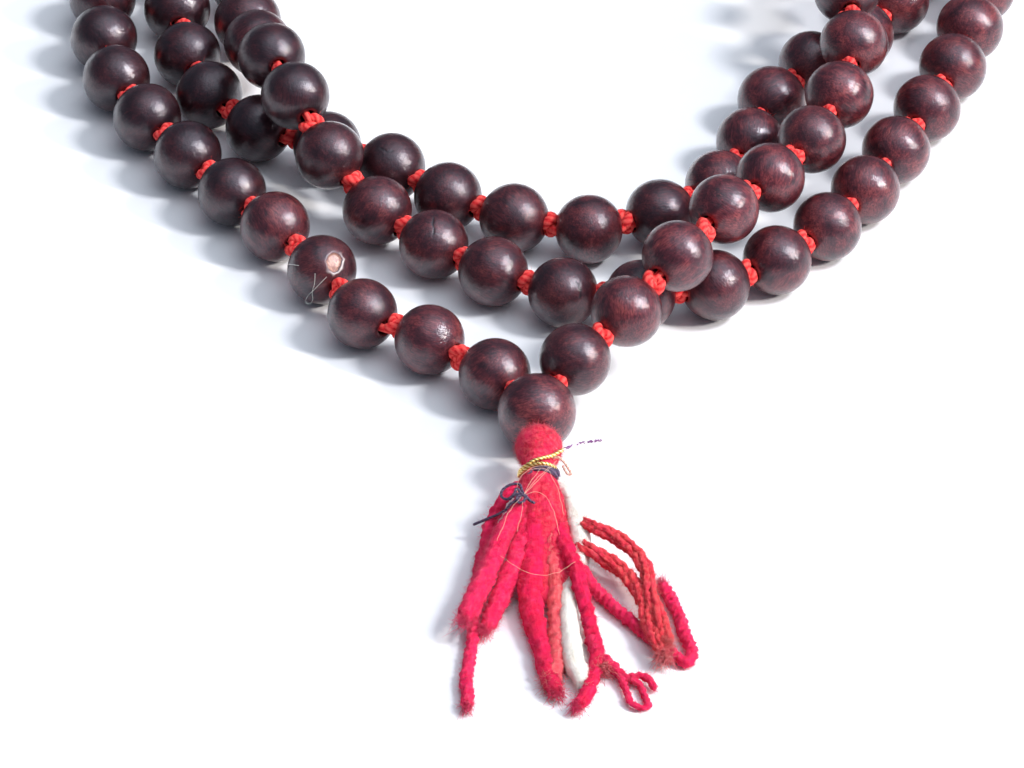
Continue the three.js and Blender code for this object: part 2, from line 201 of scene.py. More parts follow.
class Surface:
    """Gathers closed surfaces, in millimetres of the lay, and makes them one mesh object."""

    def __init__(self):
        self.points, self.corners, self.sizes, self.count = [], [], [], 0
        self.values = {}

    def add(self, points, *face_arrays, grain, lie=None, **values):
        """Adds a closed surface. grain is where its colours are looked up, and lie where its fibres are."""
        for faces in face_arrays:
            faces = np.asarray(faces, np.int64)
            self.corners.append((faces + self.count).ravel())
            self.sizes.append(np.full(len(faces), faces.shape[1]))
        values.update(grain=grain, lie=grain if lie is None else lie)
        for name, value in values.items():
            value = np.asarray(value, np.float32)
            spread = np.broadcast_to(value, (len(points),) + value.shape[1:])
            self.values.setdefault(name, []).append(spread)
        self.points.append(points)
        self.count += len(points)

    def build(self, name, material, body, slot, replaces=()):
        """Makes the mesh object, which moves with a body and may stand for some CAD nodes."""
        mesh = bpy.data.meshes.new(name)
        points = (np.concatenate(self.points) + SHIFT) * MM
        corners, sizes = np.concatenate(self.corners), np.concatenate(self.sizes)
        mesh.vertices.add(len(points))
        mesh.vertices.foreach_set("co", points.astype(np.float32).ravel())
        mesh.loops.add(len(corners))
        mesh.loops.foreach_set("vertex_index", corners.astype(np.int32))
        mesh.polygons.add(len(sizes))
        starts = np.concatenate(([0], np.cumsum(sizes)[:-1]))
        mesh.polygons.foreach_set("loop_start", starts.astype(np.int32))
        mesh.polygons.foreach_set("use_smooth", np.ones(len(sizes), bool))
        mesh.update(calc_edges=True)
        mesh.validate()
        for key, values in self.values.items():
            flat = np.concatenate(values)
            kind, field = ("FLOAT_VECTOR", "vector") if flat.ndim == 2 else ("FLOAT", "value")
            mesh.attributes.new(key, kind, "POINT").data.foreach_set(field, flat.astype(np.float32).ravel())
        mesh.materials.append(material)
        piece = bpy.data.objects.new(name, mesh)
        bpy.context.scene.collection.objects.link(piece)
        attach(piece, body)
        if replaces:
            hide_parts(*replaces)
        return piece


def grid_faces(rings, sides, closed):
    """Quads between neighbouring rings of points, facing out when the rings run round to the left."""
    ring = np.arange(rings if closed else rings - 1)[:, None]
    side = np.arange(sides)[None, :]
    after, beside = (ring + 1) % rings, (side + 1) % sides
    return np.stack(
        [ring * sides + side, ring * sides + beside, after * sides + beside, after * sides + side], axis=-1
    ).reshape(-1, 4)


def fan_faces(ring_start, sides, hub, flip):
    """Triangles from a ring of points to a hub, which close the end of a tube."""
    side = np.arange(sides)
    beside = (side + 1) % sides
    pair = (beside, side) if flip else (side, beside)
    return np.stack([ring_start + pair[0], ring_start + pair[1], np.full(sides, hub)], axis=-1)


def sweep(path, radii, sides, shape=None):
    """A closed tube along a path. shape(angle, share) scales its radius, for plies and lumps."""
    tangents, across, up = path_frames(path)
    count = len(path)
    angle = np.arange(sides) / sides * 2 * math.pi
    share = np.linspace(0, 1, count)
    radius = np.broadcast_to(np.asarray(radii, float), (count,))[:, None] * np.ones(sides)
    if shape is not None:
        radius = radius * shape(angle[None, :], share[:, None])
    ring = (
        across[:, None, :] * np.cos(angle)[None, :, None] + up[:, None, :] * np.sin(angle)[None, :, None]
    )
    points = path[:, None, :] + ring * radius[..., None]
    hubs = np.array([
        path[0] - tangents[0] * radius[0].mean() * 0.5, path[-1] + tangents[-1] * radius[-1].mean() * 0.5,
    ])
    points = np.concatenate([points.reshape(-1, 3), hubs])
    faces = grid_faces(count, sides, False)
    total = count * sides
    caps = np.concatenate([
        fan_faces(0, sides, total, True), fan_faces(total - sides, sides, total + 1, False),
    ])
    normals = np.concatenate([ring.reshape(-1, 3), -tangents[:1], tangents[-1:]])
    return points, faces, caps, normals


def lumps(points, size, depth, seed):
    """Smooth random heights of a surface, one lump about every size millimetres."""
    return depth * np.array([noise.noise(Vector(p / size + seed)) for p in points])


def hair_mesh(roots, directions, lengths, radius, rng, curl):
    """Fine closed three-sided fibres that start at the roots, taper and bend at random."""
    count = len(roots)
    steps = 4
    share = np.linspace(0, 1, steps)[None, :, None]
    lengths = np.asarray(lengths)[:, None, None]
    bend = rng.normal(size=(count, 1, 3)) * curl
    wave = rng.normal(size=(count, 1, 3)) * curl * 0.4
    line = roots[:, None, :] + lengths * (
        directions[:, None, :] * share + bend * share ** 2 + wave * np.sin(share * math.pi)
    )
    line[..., 2] = np.maximum(line[..., 2], TABLE_CLEARANCE)
    side = unit(np.cross(directions, rng.normal(size=(count, 3))))
    other = np.cross(directions, side)
    angle = np.arange(3) / 3 * 2 * math.pi
    ring = (
        side[:, None, None, :] * np.cos(angle)[None, None, :, None]
        + other[:, None, None, :] * np.sin(angle)[None, None, :, None]
    )
    width = radius * (1 - 0.6 * np.linspace(0, 1, steps))[None, :, None, None]
    points = (line[:, :, None, :] + ring * width).reshape(-1, 3)
    one = grid_faces(steps, 3, False)
    caps = np.array([[2, 1, 0], [steps * 3 - 3, steps * 3 - 2, steps * 3 - 1]])
    start = (np.arange(count) * steps * 3)[:, None, None]
    return points, (one[None] + start).reshape(-1, 4), (caps[None] + start).reshape(-1, 3)


# ---- Materials ----

class Graph:
    """A material's node tree, built from the shader backwards."""

    def __init__(self, name):
        self.material = bpy.data.materials.new(name)
        self.material.use_nodes = True
        self.tree = self.material.node_tree
        self.shader = self.tree.nodes["Principled BSDF"]

    def put(self, value, socket):
        """Links an output to the socket, or sets its value. A colour may leave out its alpha."""
        if isinstance(value, bpy.types.NodeSocket):
            self.tree.links.new(value, socket)
        elif socket.type == "RGBA":
            socket.default_value = (*value, 1)[:4]
        else:
            socket.default_value = value

    def set(self, **inputs):
        for name, value in inputs.items():
            self.put(value, self.shader.inputs[name.replace("_", " ")])

    def add(self, kind, settings, **inputs):
        made = self.tree.nodes.new(kind)
        for name, value in settings.items():
            setattr(made, name, value)
        for name, value in inputs.items():
            self.put(value, made.inputs[name.replace("_", " ")])
        return made

    def attribute(self, name, output="Vector"):
        return self.add("ShaderNodeAttribute", {"attribute_name": name}).outputs[output]

    def scaled(self, vector, scale):
        return self.add("ShaderNodeMapping", {}, Vector=vector, Scale=scale).outputs["Vector"]

    def noise(self, vector, scale, detail, roughness, distortion=0.0):
        return self.add(
            "ShaderNodeTexNoise", {}, Vector=vector, Scale=scale, Detail=detail,
            Roughness=roughness, Distortion=distortion,
        ).outputs["Fac"]

    def ramp(self, fac, stops):
        """Colours or grey values at places along a ramp."""
        made = self.add("ShaderNodeValToRGB", {}, Fac=fac)
        elements = made.color_ramp.elements
        while len(elements) < len(stops):
            elements.new(0.5)
        for element, (place, colour) in zip(elements, stops):
            element.position = place
            element.color = (*colour, 1) if np.ndim(colour) else (colour, colour, colour, 1)
        return made.outputs["Color"]

    def mix(self, fac, a, b, blend="MIX"):
        """Mixes two colours, through the mix node's colour sockets."""
        made = self.add("ShaderNodeMix", {"data_type": "RGBA", "blend_type": blend})
        for value, socket in ((fac, 0), (a, 6), (b, 7)):
            self.put(value, made.inputs[socket])
        return made.outputs[2]

    def math(self, operation, a, b=0.0, clamp=False):
        made = self.add("ShaderNodeMath", {"operation": operation, "use_clamp": clamp})
        self.put(a, made.inputs[0])
        self.put(b, made.inputs[1])
        return made.outputs[0]

    def bump(self, height, distance, strength, normal=None):
        """A bump as deep as distance, in metres, over another one."""
        made = self.add("ShaderNodeBump", {}, Height=height, Distance=distance, Strength=strength)
        if normal is not None:
            self.put(normal, made.inputs["Normal"])
        return made.outputs["Normal"]


PORE_BROWN = (0.006, 0.0014, 0.002)
FLECK_ORANGE = (0.30, 0.075, 0.045)
# A pale colour painted on the lit side of a chip's raised edge, as its glint.
PAINTED_RIM_GLINT = (0.85, 0.76, 0.72)
CRACK_BLACK = (0.003, 0.001, 0.001)


def rosewood():
    """Dark lacquered rosewood: red-brown mottling, nearly black figure, fine pores, a worn gloss."""
    g = Graph("rosewood")
    grain = g.attribute("grain")
    fibre = g.scaled(grain, (1.0, 0.22, 1.0))
    cloud = g.noise(grain, 0.34, 5, 0.62, 0.6)
    figure = g.noise(fibre, 1.6, 6, 0.68, 1.2)
    wood = g.ramp(g.math("ADD", g.math("MULTIPLY", cloud, 0.6), g.math("MULTIPLY", figure, 0.4)), [
        (0.37, (0.008, 0.0013, 0.0022)), (0.46, (0.030, 0.0052, 0.0072)),
        (0.55, (0.072, 0.0140, 0.0145)), (0.68, (0.130, 0.031, 0.025)),
    ])
    pores = g.noise(g.scaled(grain, (7.0, 1.1, 7.0)), 1.0, 3, 0.6)
    wood = g.mix(g.ramp(pores, [(0.32, 0.8), (0.45, 0.0)]), wood, PORE_BROWN)
    fleck = g.ramp(g.noise(fibre, 2.8, 5, 0.7, 0.8), [(0.62, 0.0), (0.74, 0.45)])
    wood = g.mix(fleck, wood, FLECK_ORANGE)
    # The tone attribute scales the wood: partly its own tone at random, partly painted light that is lighter
    # to the right and by the tassel.
    tone_and_painted_light = g.mix(g.attribute("tone", "Fac"), (0.38, 0.32, 0.40), (2.1, 1.75, 2.0))
    wood = g.mix(1.0, wood, tone_and_painted_light, "MULTIPLY")
    mottle = g.ramp(g.noise(fibre, 5.5, 4, 0.7, 0.5), [
        (0.36, (0.55, 0.50, 0.50)), (0.66, (1.55, 1.60, 1.50)),
    ])
    wood = g.mix(1.0, wood, mottle, "MULTIPLY")
    bare = g.ramp(g.noise(g.scaled(grain, (1.0, 2.4, 1.0)), 2.2, 6, 0.75, 0.8), [
        (0.34, (0.08, 0.025, 0.014)), (0.47, (0.28, 0.11, 0.065)), (0.62, (0.52, 0.28, 0.18)),
    ])
    wood = g.mix(g.ramp(g.attribute("mark", "Fac"), [(0.3, 0.0), (0.5, 1.0)]), wood, bare)
    # Painted glint: pale colour on the lit side of a chip's raised edge.
    wood = g.mix(g.attribute("rim", "Fac"), wood, PAINTED_RIM_GLINT)
    wood = g.mix(g.attribute("crack", "Fac"), wood, CRACK_BLACK)
    smudge = g.noise(grain, 0.9, 5, 0.65)
    scratch = g.noise(g.scaled(grain, (14.0, 2.5, 9.0)), 1.0, 2, 0.5)
    worn = g.math("ADD", g.math("MULTIPLY", smudge, 0.65), g.math("MULTIPLY", scratch, 0.35))
    normal = g.bump(g.noise(grain, 1.0, 3, 0.5), 0.00015, 0.4)
    normal = g.bump(pores, 0.00006, 0.5, normal)
    normal = g.bump(g.noise(grain, 4.2, 4, 0.65), 0.00004, 0.45, normal)
    normal = g.bump(scratch, 0.00003, 0.4, normal)
    g.set(Base_Color=wood, Roughness=g.ramp(worn, [(0.35, 0.36), (0.65, 0.52)]), Normal=normal)
    g.set(Coat_Weight=g.ramp(worn, [(0.38, 1.0), (0.66, 0.7)]), Coat_Normal=normal)
    g.set(Coat_Roughness=g.ramp(worn, [(0.36, 0.035), (0.64, 0.11)]), IOR=1.45, Coat_IOR=1.5)
    g.set(Specular_IOR_Level=0.45, Specular_Tint=(1.0, 0.76, 1.0))
    return g.material


def cord_material(name, dark, mid, light):
    """Twisted cotton: colour that varies from fibre to fibre, painted shade in the valleys between plies and
    painted light on their crests, small fibres, a soft sheen.
    """
    g = Graph(name)
    grain = g.attribute("grain")
    height = g.attribute("height", "Fac")
    fibre = g.noise(grain, 3.0, 5, 0.7, 0.4)
    # Painted shade and light: the valleys between plies go dark and the crests light, mixed with the fibres'
    # own colour.
    colour = g.ramp(g.math("ADD", g.math("MULTIPLY", fibre, 0.55), g.math("MULTIPLY", height, 0.45)), [
        (0.26, dark), (0.44, mid), (0.74, light),
    ])
    normal = g.bump(g.noise(g.scaled(grain, (1.0, 1.0, 3.0)), 5.0, 4, 0.7), 0.00008, 0.6)
    g.set(Base_Color=colour, Roughness=0.82, Normal=normal)
    g.set(Sheen_Weight=0.45, Sheen_Roughness=0.5, Sheen_Tint=light)
    g.set(Specular_IOR_Level=0.25)
    return g.material


def wool(name, dark, mid, light, patch):
    """Brushed wool: a short felted nap, colour that varies from fibre to fibre, and light through it."""
    g = Graph(name)
    grain = g.attribute("grain")
    height = g.attribute("height", "Fac")
    nap = g.noise(grain, 4.5, 6, 0.75, 0.6)
    streak = g.noise(g.scaled(g.attribute("lie"), (3.2, 3.2, 0.28)), 1.0, 5, 0.7, 0.5)
    cloud = g.noise(grain, 0.55, 3, 0.55, 0.3)
    # On the yarns, height follows their bumps, so this paints shade in the hollows and light on the bumps; on
    # the felt it is random lumps.
    value = g.math("ADD", g.math("MULTIPLY", nap, 0.25), g.math("MULTIPLY", height, 0.35))
    value = g.math("ADD", value, g.math("MULTIPLY", streak, 0.4))
    colour = g.ramp(value, [(0.30, dark), (0.47, mid), (0.68, light)])
    colour = g.mix(g.ramp(cloud, [(0.42, 0.0), (0.68, 0.55)]), colour, patch)
    normal = g.bump(streak, 0.00020, 0.7, g.bump(nap, 0.00018, 0.8))
    g.set(Base_Color=colour, Roughness=0.95, Normal=normal)
    g.set(Sheen_Weight=0.7, Sheen_Roughness=0.45, Sheen_Tint=light, Specular_IOR_Level=0.15)
    g.set(Subsurface_Weight=0.25, Subsurface_Radius=(1.0, 0.35, 0.4), Subsurface_Scale=0.0006)
    return g.material


def metallic_thread():
    """Flat gold foil wound round a core, with a bare purple and white end, and painted shade and highlight on
    its turns.
    """
    g = Graph("gold_thread")
    grain = g.attribute("grain")
    bare = g.attribute("mark", "Fac")
    # Painted shade and highlight: the foil goes nearly black in the valleys between turns and pale gold on
    # their crests.
    gold = g.ramp(g.attribute("height", "Fac"), [
        (0.15, (0.16, 0.055, 0.012)), (0.45, (0.80, 0.43, 0.075)), (0.85, (1.0, 0.80, 0.34)),
    ])
    dots = g.ramp(g.noise(grain, 2.6, 1, 0.5), [(0.47, (0.22, 0.07, 0.22)), (0.53, (0.93, 0.86, 0.88))])
    g.set(Base_Color=g.mix(bare, gold, dots))
    g.set(Metallic=g.math("SUBTRACT", 0.9, bare, True), Roughness=0.32)
    g.set(Normal=g.bump(g.noise(grain, 6.0, 3, 0.6), 0.00005, 0.6))
    return g.material


def table_top():
    """A pale matt table, very slightly uneven in tone."""
    g = Graph("table_top")
    place = g.add("ShaderNodeTexCoord", {}).outputs["Object"]
    tone = g.ramp(g.noise(place, 9.0, 3, 0.5), [(0.4, (0.90, 0.90, 0.905)), (0.6, (0.915, 0.915, 0.92))])
    g.set(Base_Color=tone, Roughness=0.75, Specular_IOR_Level=0.2)
    return g.material


ROSEWOOD = rosewood()
RED_CORD = cord_material("red_cord", (0.42, 0.006, 0.010), (0.80, 0.022, 0.028), (1.0, 0.12, 0.10))
NAVY_THREAD = cord_material("navy_thread", (0.016, 0.008, 0.020), (0.044, 0.027, 0.058), (0.15, 0.11, 0.17))
GOLD_THREAD = metallic_thread()
GOLD_HAIR = cord_material("gold_hair", (0.80, 0.38, 0.26), (0.96, 0.55, 0.40), (1.0, 0.74, 0.58))
TAN_THREAD = cord_material("tan_thread", (0.42, 0.16, 0.12), (0.70, 0.36, 0.28), (0.92, 0.66, 0.55))
PINK_WOOL = wool(
    "pink_wool", (0.46, 0.003, 0.035), (0.82, 0.012, 0.085), (0.97, 0.08, 0.17), (0.88, 0.02, 0.12),
)
CRIMSON_WOOL = wool(
    "crimson_wool", (0.34, 0.003, 0.022), (0.72, 0.008, 0.055), (0.95, 0.05, 0.13), (0.86, 0.015, 0.12),
)
FELT_WOOL = wool(
    "felt_wool", (0.42, 0.006, 0.025), (0.80, 0.020, 0.065), (0.98, 0.14, 0.17), (0.88, 0.022, 0.12),
)
RED_WOOL = wool(
    "red_wool", (0.40, 0.008, 0.018), (0.74, 0.026, 0.050), (0.95, 0.16, 0.15), (0.84, 0.035, 0.10),
)
CORAL_WOOL = wool(
    "coral_wool", (0.50, 0.016, 0.03), (0.78, 0.075, 0.095), (0.98, 0.26, 0.25), (0.84, 0.06, 0.12),
)
WHITE_WOOL = wool(
    "white_wool", (0.76, 0.68, 0.55), (0.90, 0.85, 0.74), (1.0, 0.97, 0.90), (0.96, 0.90, 0.84),
)


# ---- Beads ----

BEAD_RINGS = 26
BEAD_SIDES = 48
MARKED_FINENESS = 4
MOUTH_RADIUS = BORE_RADIUS * 1.22
MOUTH_DEPTH = 0.28

# Marks seen from the front, as shares of a bead's radius to the right and up: places and half sizes
# where the lacquer is knocked off, the lines of cracks, and how much lighter or darker some beads are.
CHIPS = {4: [((0.38, 0.20), (0.23, 0.30))]}
CRACKS = {
    45: [[(0.0, 0.72), (-0.03, 0.55), (0.02, 0.42), (-0.01, 0.25)]],
    43: [[(0.35, 0.30), (0.50, 0.05), (0.46, -0.15)]],
    78: [[(-0.30, 0.52), (-0.12, 0.40), (0.05, 0.44)]],
}
TONES = {0: 0.32, 2: 0.15, 45: 0.30, 5: 0.28, 105: 0.2, 106: 0.2, 107: 0.25, 6: -0.40, 46: 0.1}
CHIP_DEPTH = 0.05
CHIP_RIM_HEIGHT = 0.022
CRACK_DEPTH = 0.012
CRACK_WIDTH = 0.026
OUT_OF_REACH = 9.0


def bead_surface(radius, rng, rings, sides):
    """A turned bead round its Y axis, not quite round, with a softened mouth to its bore."""
    mouth = math.asin(MOUTH_RADIUS / radius)
    polar = np.linspace(mouth, math.pi - mouth, rings)
    flatness = rng.uniform(0.965, 1.0)
    across, along = radius * np.sin(polar), radius * np.cos(polar) * flatness
    across = np.concatenate(([BORE_RADIUS], across, [BORE_RADIUS]))
    along = np.concatenate(([along[0] - MOUTH_DEPTH], along, [along[-1] + MOUTH_DEPTH]))
    angle = np.arange(sides) / sides * 2 * math.pi
    points = np.stack([
        across[:, None] * np.sin(angle), along[:, None] * np.ones(sides), across[:, None] * np.cos(angle),
    ], axis=-1).reshape(-1, 3)
    swell = 1 + lumps(points, 3.6, 0.010, rng.uniform(0, 90))
    return points * swell[:, None], grid_faces(len(across), sides, True)[:, ::-1]


def turned(points, direction):
    """Points of a shape round its Y axis, turned to lie along a direction with Z upward."""
    side = unit(np.cross(direction, (0, 0, 1)))
    up = np.cross(side, direction)
    return points @ np.stack([side, direction, up])


SLOPE = math.radians(CAMERA_ELEVATION)
VIEW_BACK = np.array((0, -math.cos(SLOPE), math.sin(SLOPE)))
VIEW_UP = np.array((0, math.sin(SLOPE), math.cos(SLOPE)))


def chip_off(points, right, up, front, chips):
    """Presses chips into a bead. Also gives how bare each point is, and where a glint is painted pale along
    the lit side of a chip's raised edge.
    """
    bare = np.zeros(len(points))
    pale = np.zeros(len(points))
    for (x, y), (wide, high) in chips:
        reach = np.hypot((right - x) / wide, (up - y) / high) * (1 + lumps(points, 0.6, 0.22, 7.0))
        reach = np.where(front, reach, OUT_OF_REACH)
        bowl = np.clip((1 - reach) * 4, 0, 1)
        lit_side = np.clip(0.3 + (right - x) * 2.6 - (up - y) * 2.0, 0, 1)
        rim = np.exp(-((reach - 1.12) / 0.10) ** 2) * lit_side
        points = points * (1 - CHIP_DEPTH * bowl + CHIP_RIM_HEIGHT * rim)[:, None]
        bare = np.maximum(bare, bowl)
        # A painted glint: pale colour along the lit side of the chip's raised edge.
        pale = np.maximum(pale, 0.65 * rim)
    return points, bare, pale


def crack_open(points, right, up, front, lines):
    """Presses ragged lines into a bead. Also gives how deep in a crack each point is, from 0 to 1."""
    crack = np.zeros(len(points))
    for line in lines:
        gap = np.full(len(points), OUT_OF_REACH)
        for (x0, y0), (x1, y1) in zip(line, line[1:]):
            run = np.array((x1 - x0, y1 - y0))
            share = np.clip(((right - x0) * run[0] + (up - y0) * run[1]) / (run @ run), 0, 1)
            gap = np.minimum(gap, np.hypot(right - x0 - share * run[0], up - y0 - share * run[1]))
        gap = gap * (1 + lumps(points, 0.4, 0.4, 1.0))
        crack = np.maximum(crack, np.where(front, np.clip(1.6 - gap / CRACK_WIDTH, 0, 1), 0))
    return points * (1 - CRACK_DEPTH * crack)[:, None], crack


def bead_tone_and_painted_light(number, rng):
    """How light a bead is made, from 0 to 1: the wood's own tone at random, painted light that makes beads
    lighter to the right and in the row by the tassel, and some beads set lighter or darker.
    """
    # Painted light: beads are made lighter to the right, where the light comes from, and in the front row by
    # the tassel.
    front_row_painted_light = 0.20 if number < 4 or number > 100 else 0
    chance = rng.uniform(-0.24, 0.24)
    tone = 0.30 + bead_centre(number)[0] * 0.009 + front_row_painted_light + chance + TONES.get(number, 0)
    return np.clip(tone, 0, 1)


def add_bead(surface, number):
    """A bead at its place on the cord, with its own size, grain, tone and marks."""
    rng = np.random.default_rng(number + 500)
    radius = GURU_RADIUS if number == 0 else BEAD_RADIUS * rng.uniform(0.985, 1.0)
    fineness = MARKED_FINENESS if number in CHIPS or number in CRACKS else 1
    local, faces = bead_surface(radius, rng, BEAD_RINGS * fineness, BEAD_SIDES * fineness)
    points = turned(local, bore_direction(number))
    out = unit(points)
    seen = (out[:, 0], out @ VIEW_UP, out @ VIEW_BACK > 0)
    points, bare, pale = chip_off(points, *seen, CHIPS.get(number, ()))
    points, crack = crack_open(points, *seen, CRACKS.get(number, ()))
    turn, _ = np.linalg.qr(rng.normal(size=(3, 3)))
    grain = local @ turn + rng.uniform(0, 400, 3)
    # Besides the wood's own tone, tone carries painted light: lighter to the right and in the row by the
    # tassel.
    tone = bead_tone_and_painted_light(number, rng)
    points = points + bead_centre(number)
    # pale is the painted glint on the lit side of a chip's raised edge.
    surface.add(points, faces, grain=grain, tone=tone, mark=bare, crack=crack, rim=pale)


# ---- The red cord and its knots ----

# A knot's outer radius, the radius of the cord in it, and the radius of the cord's fuzz fibres.
KNOT_REACH = 1.58
KNOT_CORD = 0.60
FUZZ_RADIUS = 0.014

# How cords and threads are spun: the sides of their mesh, their plies, and the pitch and depth of those.
COTTON = dict(sides=10, plies=3, pitch=1.9, depth=0.24)
KNOTTED_COTTON = dict(sides=14, plies=3, pitch=1.9, depth=0.15)
BINDING_THREAD = dict(sides=8, plies=2, pitch=0.8, depth=0.2)
TIE_THREAD = dict(sides=8, plies=2, pitch=0.9, depth=0.25)
CURL_THREAD = dict(sides=8, plies=2, pitch=0.9, depth=0.2)
GOLD_FOIL = dict(sides=12, plies=2, pitch=0.85, depth=0.5)


def ply_shape(plies, turns, depth):
    """How a twisted cord's radius goes up and down round it and along it."""
    def shape(angle, share):
        return 1 - depth + depth * np.abs(np.cos(plies / 2 * (angle - 2 * math.pi * turns * share)))
    return shape


def add_rope(surface, path, radii, sides, plies, pitch, depth, rng=None, hairs=0, hair_length=0, mark=None):
    """A twisted cord along a path, with the height of each point above its own valleys, and its fuzz."""
    run = np.linalg.norm(np.diff(path, axis=0), axis=1).sum()
    shape = ply_shape(plies, run / pitch, depth)
    points, faces, caps, normals = sweep(path, radii, sides, shape)
    share = np.linspace(0, 1, len(path))[:, None]
    angle = (np.arange(sides) / sides * 2 * math.pi)[None, :]
    # The cord and thread materials paint shade in the valleys and light on the crests from this height.
    height = np.append(((shape(angle, share) - 1 + depth) / depth).ravel(), (0.5, 0.5))
    extra = {}
    if mark is not None:
        extra["mark"] = np.append(np.repeat(mark, sides), (mark[0], mark[-1]))
    surface.add(points, faces, caps, grain=points, height=height, **extra)
    if hairs:
        chosen = rng.integers(0, len(points) - 2, hairs)
        away = unit(normals[chosen] + rng.normal(size=(hairs, 3)) * 0.5)
        lengths = rng.uniform(0.3, 1.0, hairs) * hair_length
        fuzz = hair_mesh(points[chosen], away, lengths, FUZZ_RADIUS, rng, 0.6)
        surface.add(*fuzz, grain=fuzz[0], height=0.7)


def radius_of(number):
    """A bead's radius, by its number on the cord, where both ends are the guru bead."""
    return GURU_RADIUS if number in (0, BEAD_COUNT + 1) else BEAD_RADIUS


def gap_after(number):
    """The two ends of the free cord between a bead and the next, and the way it runs."""
    here, there = bead_centre(number), bead_centre(number + 1)
    way = unit(there - here)
    return here + way * radius_of(number), there - way * radius_of(number + 1), way


def add_knot(surface, number, rng):
    """An overhand knot pulled tight after a bead: a flattened trefoil of the cord."""
    start, end, way = gap_after(number)
    room = np.dot(end - start, way)
    share = np.linspace(0.02, 2 * math.pi - 0.02, 56)
    turn = rng.uniform(0, 2 * math.pi)
    size = (KNOT_REACH - KNOT_CORD) / 3 * rng.uniform(0.94, 1.1)
    thick = np.clip(0.24 + 0.28 * room, 0.28, 0.75)
    x = size * (np.sin(share) + 2 * np.sin(2 * share))
    z = size * (np.cos(share) - 2 * np.cos(2 * share))
    y = -thick * np.sin(3 * share) + rng.uniform(-0.1, 0.1)
    local = np.stack([
        x * math.cos(turn) - z * math.sin(turn), y, x * math.sin(turn) + z * math.cos(turn),
    ], axis=-1)
    path = turned(local, way) + (start + end) / 2
    add_rope(surface, path, KNOT_CORD, **KNOTTED_COTTON, rng=rng, hairs=120, hair_length=0.38)


def strand_cord(name, first, last, node, knots):
    """The cord of a stretch of beads, straight in each bore, with a knot in each gap numbered in knots."""
    surface = Surface()
    rng = np.random.default_rng(first)
    route = []
    for number in range(min(first, knots[0]), last + 1):
        if number >= first:
            reach = bore_direction(number) * BEAD_RADIUS
            route += [bead_centre(number) - reach, bead_centre(number), bead_centre(number) + reach]
        if number in knots:
            start, end, _ = gap_after(number)
            route.append((start + end) / 2)
            add_knot(surface, number, rng)
    path, _, _ = smooth_path(route, 0.7)
    add_rope(surface, path, CORD_RADIUS, **COTTON)
    piece = surface.build(name, RED_CORD, "strands", "red_cord", [node])


for node, (first, last) in FRONT_STRETCHES.items():
    strand_cord(node.replace("string", "cord"), first, last, node, range(first - 1, last + 1))
    for number in range(first, last + 1):
        label = f"{number:03d}"
        bead = Surface()
        add_bead(bead, number)
        bead.build(f"wood_bead_{label}", ROSEWOOD, f"counting_{label}", "rosewood", [f"bead_{label}"])

for node, (first, last) in REAR_STRETCHES.items():
    strand_cord(f"cord_{node}", first, last, node, range(first, last))
    beads = Surface()
    for number in range(first, last + 1):
        add_bead(beads, number)
    beads.build(f"wood_{node}", ROSEWOOD, "strands", "rosewood", [node])

guru = Surface()
add_bead(guru, 0)
guru.build("wood_guru_bead", ROSEWOOD, "guru", "rosewood", ["guru_bead"])

# The cord in the guru bead, from inside its back to a little in front of it.
GURU_CORD_BACK = 3.9
GURU_CORD_FRONT = 4.9
guru_cord = Surface()
axis = bore_direction(0)
guru_line = np.linspace(bead_centre(0) - axis * GURU_CORD_BACK, bead_centre(0) + axis * GURU_CORD_FRONT, 24)
add_rope(guru_cord, guru_line, CORD_RADIUS, **COTTON)
guru_cord.build("cord_guru", RED_CORD, "tassel_top", "red_cord", ["guru_cord"])


# ---- The tassel ----

HEAD_START = np.array((0.1, -4.95, 4.95))
HEAD_DIRECTION = unit(np.array((0.03, -1, -0.06)))
BINDING_CENTRE = HEAD_START + (0.16, 0, -0.34)
BALL_MIDDLE = 2.2
BALL_END = 4.2
NAP_RADIUS = 0.012
TUFT_RADIUS = 0.028

# The felt ball and the neck below it: radius and distance from the guru bead.
HEAD_OUTLINE = [
    (0.05, 0), (0.8, 0.04), (1.45, 0.25), (2.0, 0.7), (2.35, 1.35), (2.48, 2.05), (2.4, 2.8), (2.1, 3.6),
    (1.75, 4.3), (1.62, 4.9), (1.6, 5.6), (1.55, 6.4), (0.05, 6.6),
]


def add_nap(surface, points, normals, count, length, rng, curl=0.6, lean=(0, 0, 0)):
    """Short fibres standing out of a wool surface."""
    chosen = rng.integers(0, len(points), count)
    away = unit(normals[chosen] + rng.normal(size=(count, 3)) * 0.55 + np.array(lean))
    roots = points[chosen] + rng.normal(size=(count, 3)) * 0.04
    fuzz = hair_mesh(roots, away, rng.uniform(0.35, 1.0, count) * length, NAP_RADIUS, rng, curl)
    surface.add(*fuzz, grain=fuzz[0], height=rng.uniform(0.5, 0.95))


